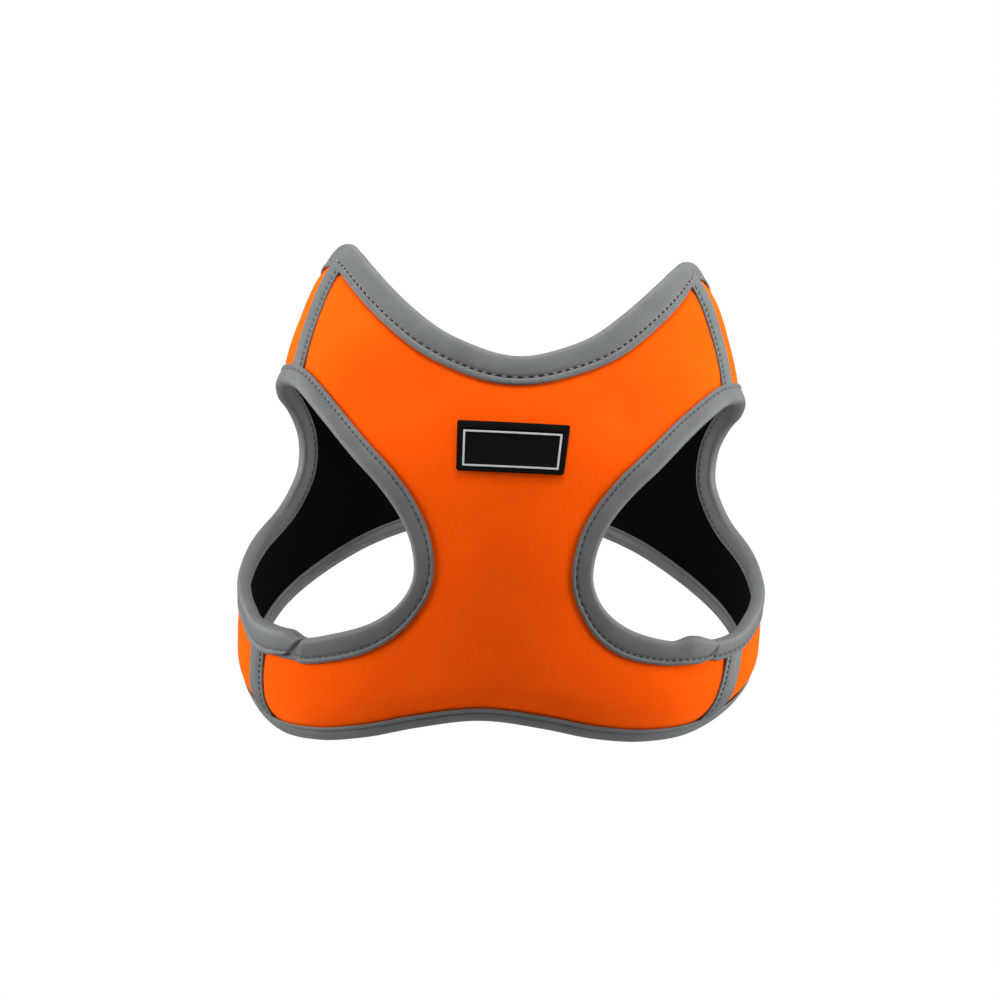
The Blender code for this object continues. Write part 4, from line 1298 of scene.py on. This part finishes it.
class FitLeadRing(bpy.types.Operator):
    """Sews the webbing tab on the back and fits the ring that swings in it"""
    bl_idname = "vest.fit_lead_ring"
    bl_label = "Fit the lead ring"

    def execute(self, context):
        self.tab(context.scene.vest_sizes)
        self.ring()
        return {"FINISHED"}

    def tab(self, sizes):
        """The webbing, a flat strap along its line."""
        line = tab_line()
        run = unit(np.gradient(line, axis=0))
        normal = np.stack([-run[:, 1], run[:, 0]], -1)
        half, thick = TAB["width"] / 2, TAB["thick"]
        degree = np.linalg.norm(directions(np.array([(180.0, RING["height"])]), cut_point)[0])
        side = [(x, 1.0) for x in np.linspace(-half + 0.5, half - 0.5, 14)]
        side += [(half - 0.1, 0.7), (half, 0.0), (half - 0.1, -0.7)]
        around = side + [(-x, -share) for x, share in side]
        grid = []
        for x, share in around:
            at = line + normal * share * thick / 2
            places = np.stack([np.full(len(at), 180.0 - x / degree), RING["height"] + at[:, 0]], -1)
            grid.append(lifted(places, at[:, 1]))
        grid = np.stack(grid, 1)
        way = np.r_[0, np.cumsum(np.linalg.norm(np.diff(np.array(around) * (1, thick / 2), axis=0),
                                                axis=1)), 2 * TAB["width"]]
        long = np.r_[0, np.cumsum(np.linalg.norm(np.diff(line, axis=0), axis=1))]
        tab = tube("webbing_tab", grid, np.r_[long, long[-1]] * MM, way * MM,
                   finish_of("nylon webbing"), closed=False)
        worn(tab, "black_webbing", "lead_tab")
        self.box_stitches(sizes, degree)

    def box_stitches(self, sizes, degree):
        """A box of stitches with a cross in it over the ring, and a row under it."""
        half = TAB["width"] / 2 - TAB_SEWING["margin"]
        low, high = TAB_SEWING["low"], TAB["up"] - TAB_SEWING["top"]
        corners = ((-half, low), (half, low), (half, high), (-half, high))
        lines = [(corners[i], corners[(i + 1) % 4]) for i in range(4)]
        lines += [(corners[0], corners[2]), (corners[1], corners[3])]
        lines += [((-half, -row), (half, -row)) for row in TAB_SEWING["rows"]]
        pitch, stitches = mm(sizes.stitch) * TAB_SEWING["pitch"], []
        lift = TAB["over"] + TAB["thick"] + TAB_SEWING["lift"]
        for start, end in lines:
            start, end = np.array(start), np.array(end)
            count = max(2, round(np.linalg.norm(end - start) / pitch))
            at = start + (end - start) * np.linspace(0, 1, count + 1)[:, None]
            places = np.stack([180.0 - at[:, 0] / degree, RING["height"] + at[:, 1]], -1)
            points = lifted(places, np.full(len(places), lift))
            out = normal_at(places)
            stitches += list(zip(points[:-1], points[1:], out[:-1]))
        thread_piece("tab_thread", stitches, mm(sizes.thread), sag=0.2)

    def ring(self):
        """The ring's own solid, merged and rounded."""
        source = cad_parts["lead_ring"]
        ring = source.copy()
        ring.data = source.data.copy()
        ring.name = ring.data.name = "ring_wire"
        for key in list(ring.keys()):
            del ring[key]
        bpy.context.scene.collection.objects.link(ring)
        bpy.ops.object.select_all(action="DESELECT")
        ring.select_set(True)
        bpy.context.view_layer.objects.active = ring
        bpy.ops.object.mode_set(mode="EDIT")
        bpy.ops.mesh.select_all(action="SELECT")
        bpy.ops.mesh.remove_doubles(threshold=RING["merge"] * MM)
        bpy.ops.mesh.tris_convert_to_quads()
        bpy.ops.object.mode_set(mode="OBJECT")
        bpy.ops.object.modifier_add(type="SUBSURF")
        rounding = ring.modifiers[-1]
        rounding.levels = rounding.render_levels = 2
        bpy.ops.object.modifier_apply(modifier=rounding.name)
        bpy.ops.object.mode_set(mode="EDIT")
        bpy.ops.mesh.select_all(action="SELECT")
        bpy.ops.transform.shrink_fatten(value=RING["plate"] * MM)
        bpy.ops.object.mode_set(mode="OBJECT")
        ring.data.shade_smooth()
        ring.data.materials.clear()
        ring.data.materials.append(finish_of("nickel plate"))
        worn(ring, "ring_steel", "lead_ring", body=RING_BODY)


class StateCuts(bpy.types.Operator):
    """Takes no step; it states no cut and nothing sewn on one"""
    bl_idname = "vest.state_cuts"
    bl_label = "State the cuts"

    def execute(self, context):
        return {"FINISHED"}


# ------------------------------------------------------------------------------------- the stage
CAMERA = dict(away=0.700, lens=55.33, sensor=36.0)   # metres from the vest's axis, and mm
LIGHT_AIM, LIGHT_SIZE = Vector((0.0, 0.0, 0.02)), 0.35
# Square soft boxes, all aimed at the middle of the vest.
#          name,          place in metres,       watts
LIGHTS = (("left_side",   (-0.60, -0.10, 0.10),  5.4),
          ("right_side",  (0.60, -0.10, 0.10),   4.2),
          ("right_low",   (0.60, -0.05, -0.12),  1.0),
          ("right_top",   (0.30, -0.05, 0.45),   0.8),
          ("right_front", (0.60, -0.45, 0.10),   0.5),
          ("top_front",   (0.0, -0.30, 0.50),    1.1),
          ("top",         (0.0, -0.05, 0.50),    2.5),
          ("low_front",   (0.0, -0.50, -0.50),   0.7))
ROOM_LIGHT = 0.07
FLOOR = dict(height=-0.45, inner=0.25, outer=0.66)


class SetStage(bpy.types.Operator):
    """Sets the white floor, the soft boxes and the camera"""
    bl_idname = "vest.set_stage"
    bl_label = "Set the stage"

    def execute(self, context):
        scene = context.scene
        self.camera(scene)
        for name, place, watts in LIGHTS:
            self.light(scene, name, Vector(place), watts)
        self.floor()
        self.room(scene)
        scene.view_settings.view_transform = "Standard"
        scene.view_settings.look = "None"
        return {"FINISHED"}

    def camera(self, scene):
        data = bpy.data.cameras.new("camera")
        data.lens = CAMERA["lens"]
        data.sensor_width = CAMERA["sensor"]
        camera = bpy.data.objects.new("camera", data)
        camera.location = (0.0, -CAMERA["away"], 0.0)
        camera.rotation_euler = (np.pi / 2, 0.0, 0.0)
        scene.collection.objects.link(camera)
        scene.camera = camera

    def light(self, scene, name, place, watts):
        data = bpy.data.lights.new(name, "AREA")
        data.shape, data.size, data.energy = "SQUARE", LIGHT_SIZE, watts
        lamp = bpy.data.objects.new(name, data)
        lamp.location = place
        lamp.rotation_euler = (LIGHT_AIM - place).to_track_quat("-Z", "Y").to_euler()
        scene.collection.objects.link(lamp)

    def room(self, scene):
        """A white backdrop all round, which lights the vest only softly."""
        world = bpy.data.worlds.new("white_room")
        scene.world = world
        world.use_nodes = True
        tree = world.node_tree
        seen = add_node(tree, "ShaderNodeLightPath")
        strength = add_node(tree, "ShaderNodeMapRange", {3: ROOM_LIGHT, 4: 1.0},
                            {0: (seen, "Is Camera Ray")})
        sky = tree.nodes["Background"]
        sky.inputs["Color"].default_value = (1.0, 1.0, 1.0, 1.0)
        tree.links.new(strength.outputs[0], sky.inputs["Strength"])

    def floor(self):
        """A pale floor that fades into the backdrop."""
        bpy.ops.object.select_all(action="DESELECT")
        bpy.ops.mesh.primitive_circle_add(vertices=96, radius=FLOOR["outer"], fill_type="NGON",
                                          location=(0.0, 0.0, FLOOR["height"]))
        floor = bpy.context.object
        floor.name = "floor"
        bpy.ops.object.transform_apply(location=True)
        made, tree, shader = new_material("white paper sweep", {
            "Base Color": rgba(linear("#F7F7F7")), "Roughness": 0.9, "Specular IOR Level": 0.1})
        place = add_node(tree, "ShaderNodeTexCoord")
        flat = add_node(tree, "ShaderNodeVectorMath", {"operation": "MULTIPLY", 1: (1.0, 1.0, 0.0)},
                        {0: (place, "Object")})
        away = add_node(tree, "ShaderNodeVectorMath", {"operation": "LENGTH"}, {0: (flat, 0)})
        fade = add_node(tree, "ShaderNodeMapRange", {"interpolation_type": "SMOOTHSTEP",
                                                     1: FLOOR["inner"], 2: FLOOR["outer"],
                                                     3: 1.0, 4: 0.0}, {0: (away, "Value")})
        tree.links.new(fade.outputs[0], shader.inputs["Alpha"])
        floor.data.materials.append(made)


class VIEW3D_PT_vest(bpy.types.Panel):
    """Sizes, colours and steps of the vest"""
    bl_label = "Dog vest harness"
    bl_space_type = "VIEW_3D"
    bl_region_type = "UI"
    bl_category = "Vest"

    def draw(self, context):
        for group in (context.scene.vest_sizes, context.scene.vest_colours):
            box = self.layout.box()
            for key in group.__annotations__:
                box.prop(group, key)
        for step in STEPS:
            self.layout.operator(step.bl_idname)


STEPS = (CutCloth, SewBindings, SewSeamTapes, MouldPatch, FitLeadRing, StateCuts, SetStage)
CLASSES = (VestSizes, VestColours, *STEPS, VIEW3D_PT_vest)


def register():
    for each in CLASSES:
        bpy.utils.register_class(each)
    bpy.types.Scene.vest_sizes = PointerProperty(type=VestSizes)
    bpy.types.Scene.vest_colours = PointerProperty(type=VestColours)


def unregister():
    del bpy.types.Scene.vest_colours
    del bpy.types.Scene.vest_sizes
    for each in reversed(CLASSES):
        bpy.utils.unregister_class(each)


def main():
    register()
    bpy.ops.vest.cut_cloth()
    bpy.ops.vest.sew_bindings()
    bpy.ops.vest.sew_seam_tapes()
    bpy.ops.vest.mould_patch()
    bpy.ops.vest.fit_lead_ring()
    bpy.ops.vest.state_cuts()
    bpy.ops.vest.set_stage()


if __name__ == "__main__":
    main()
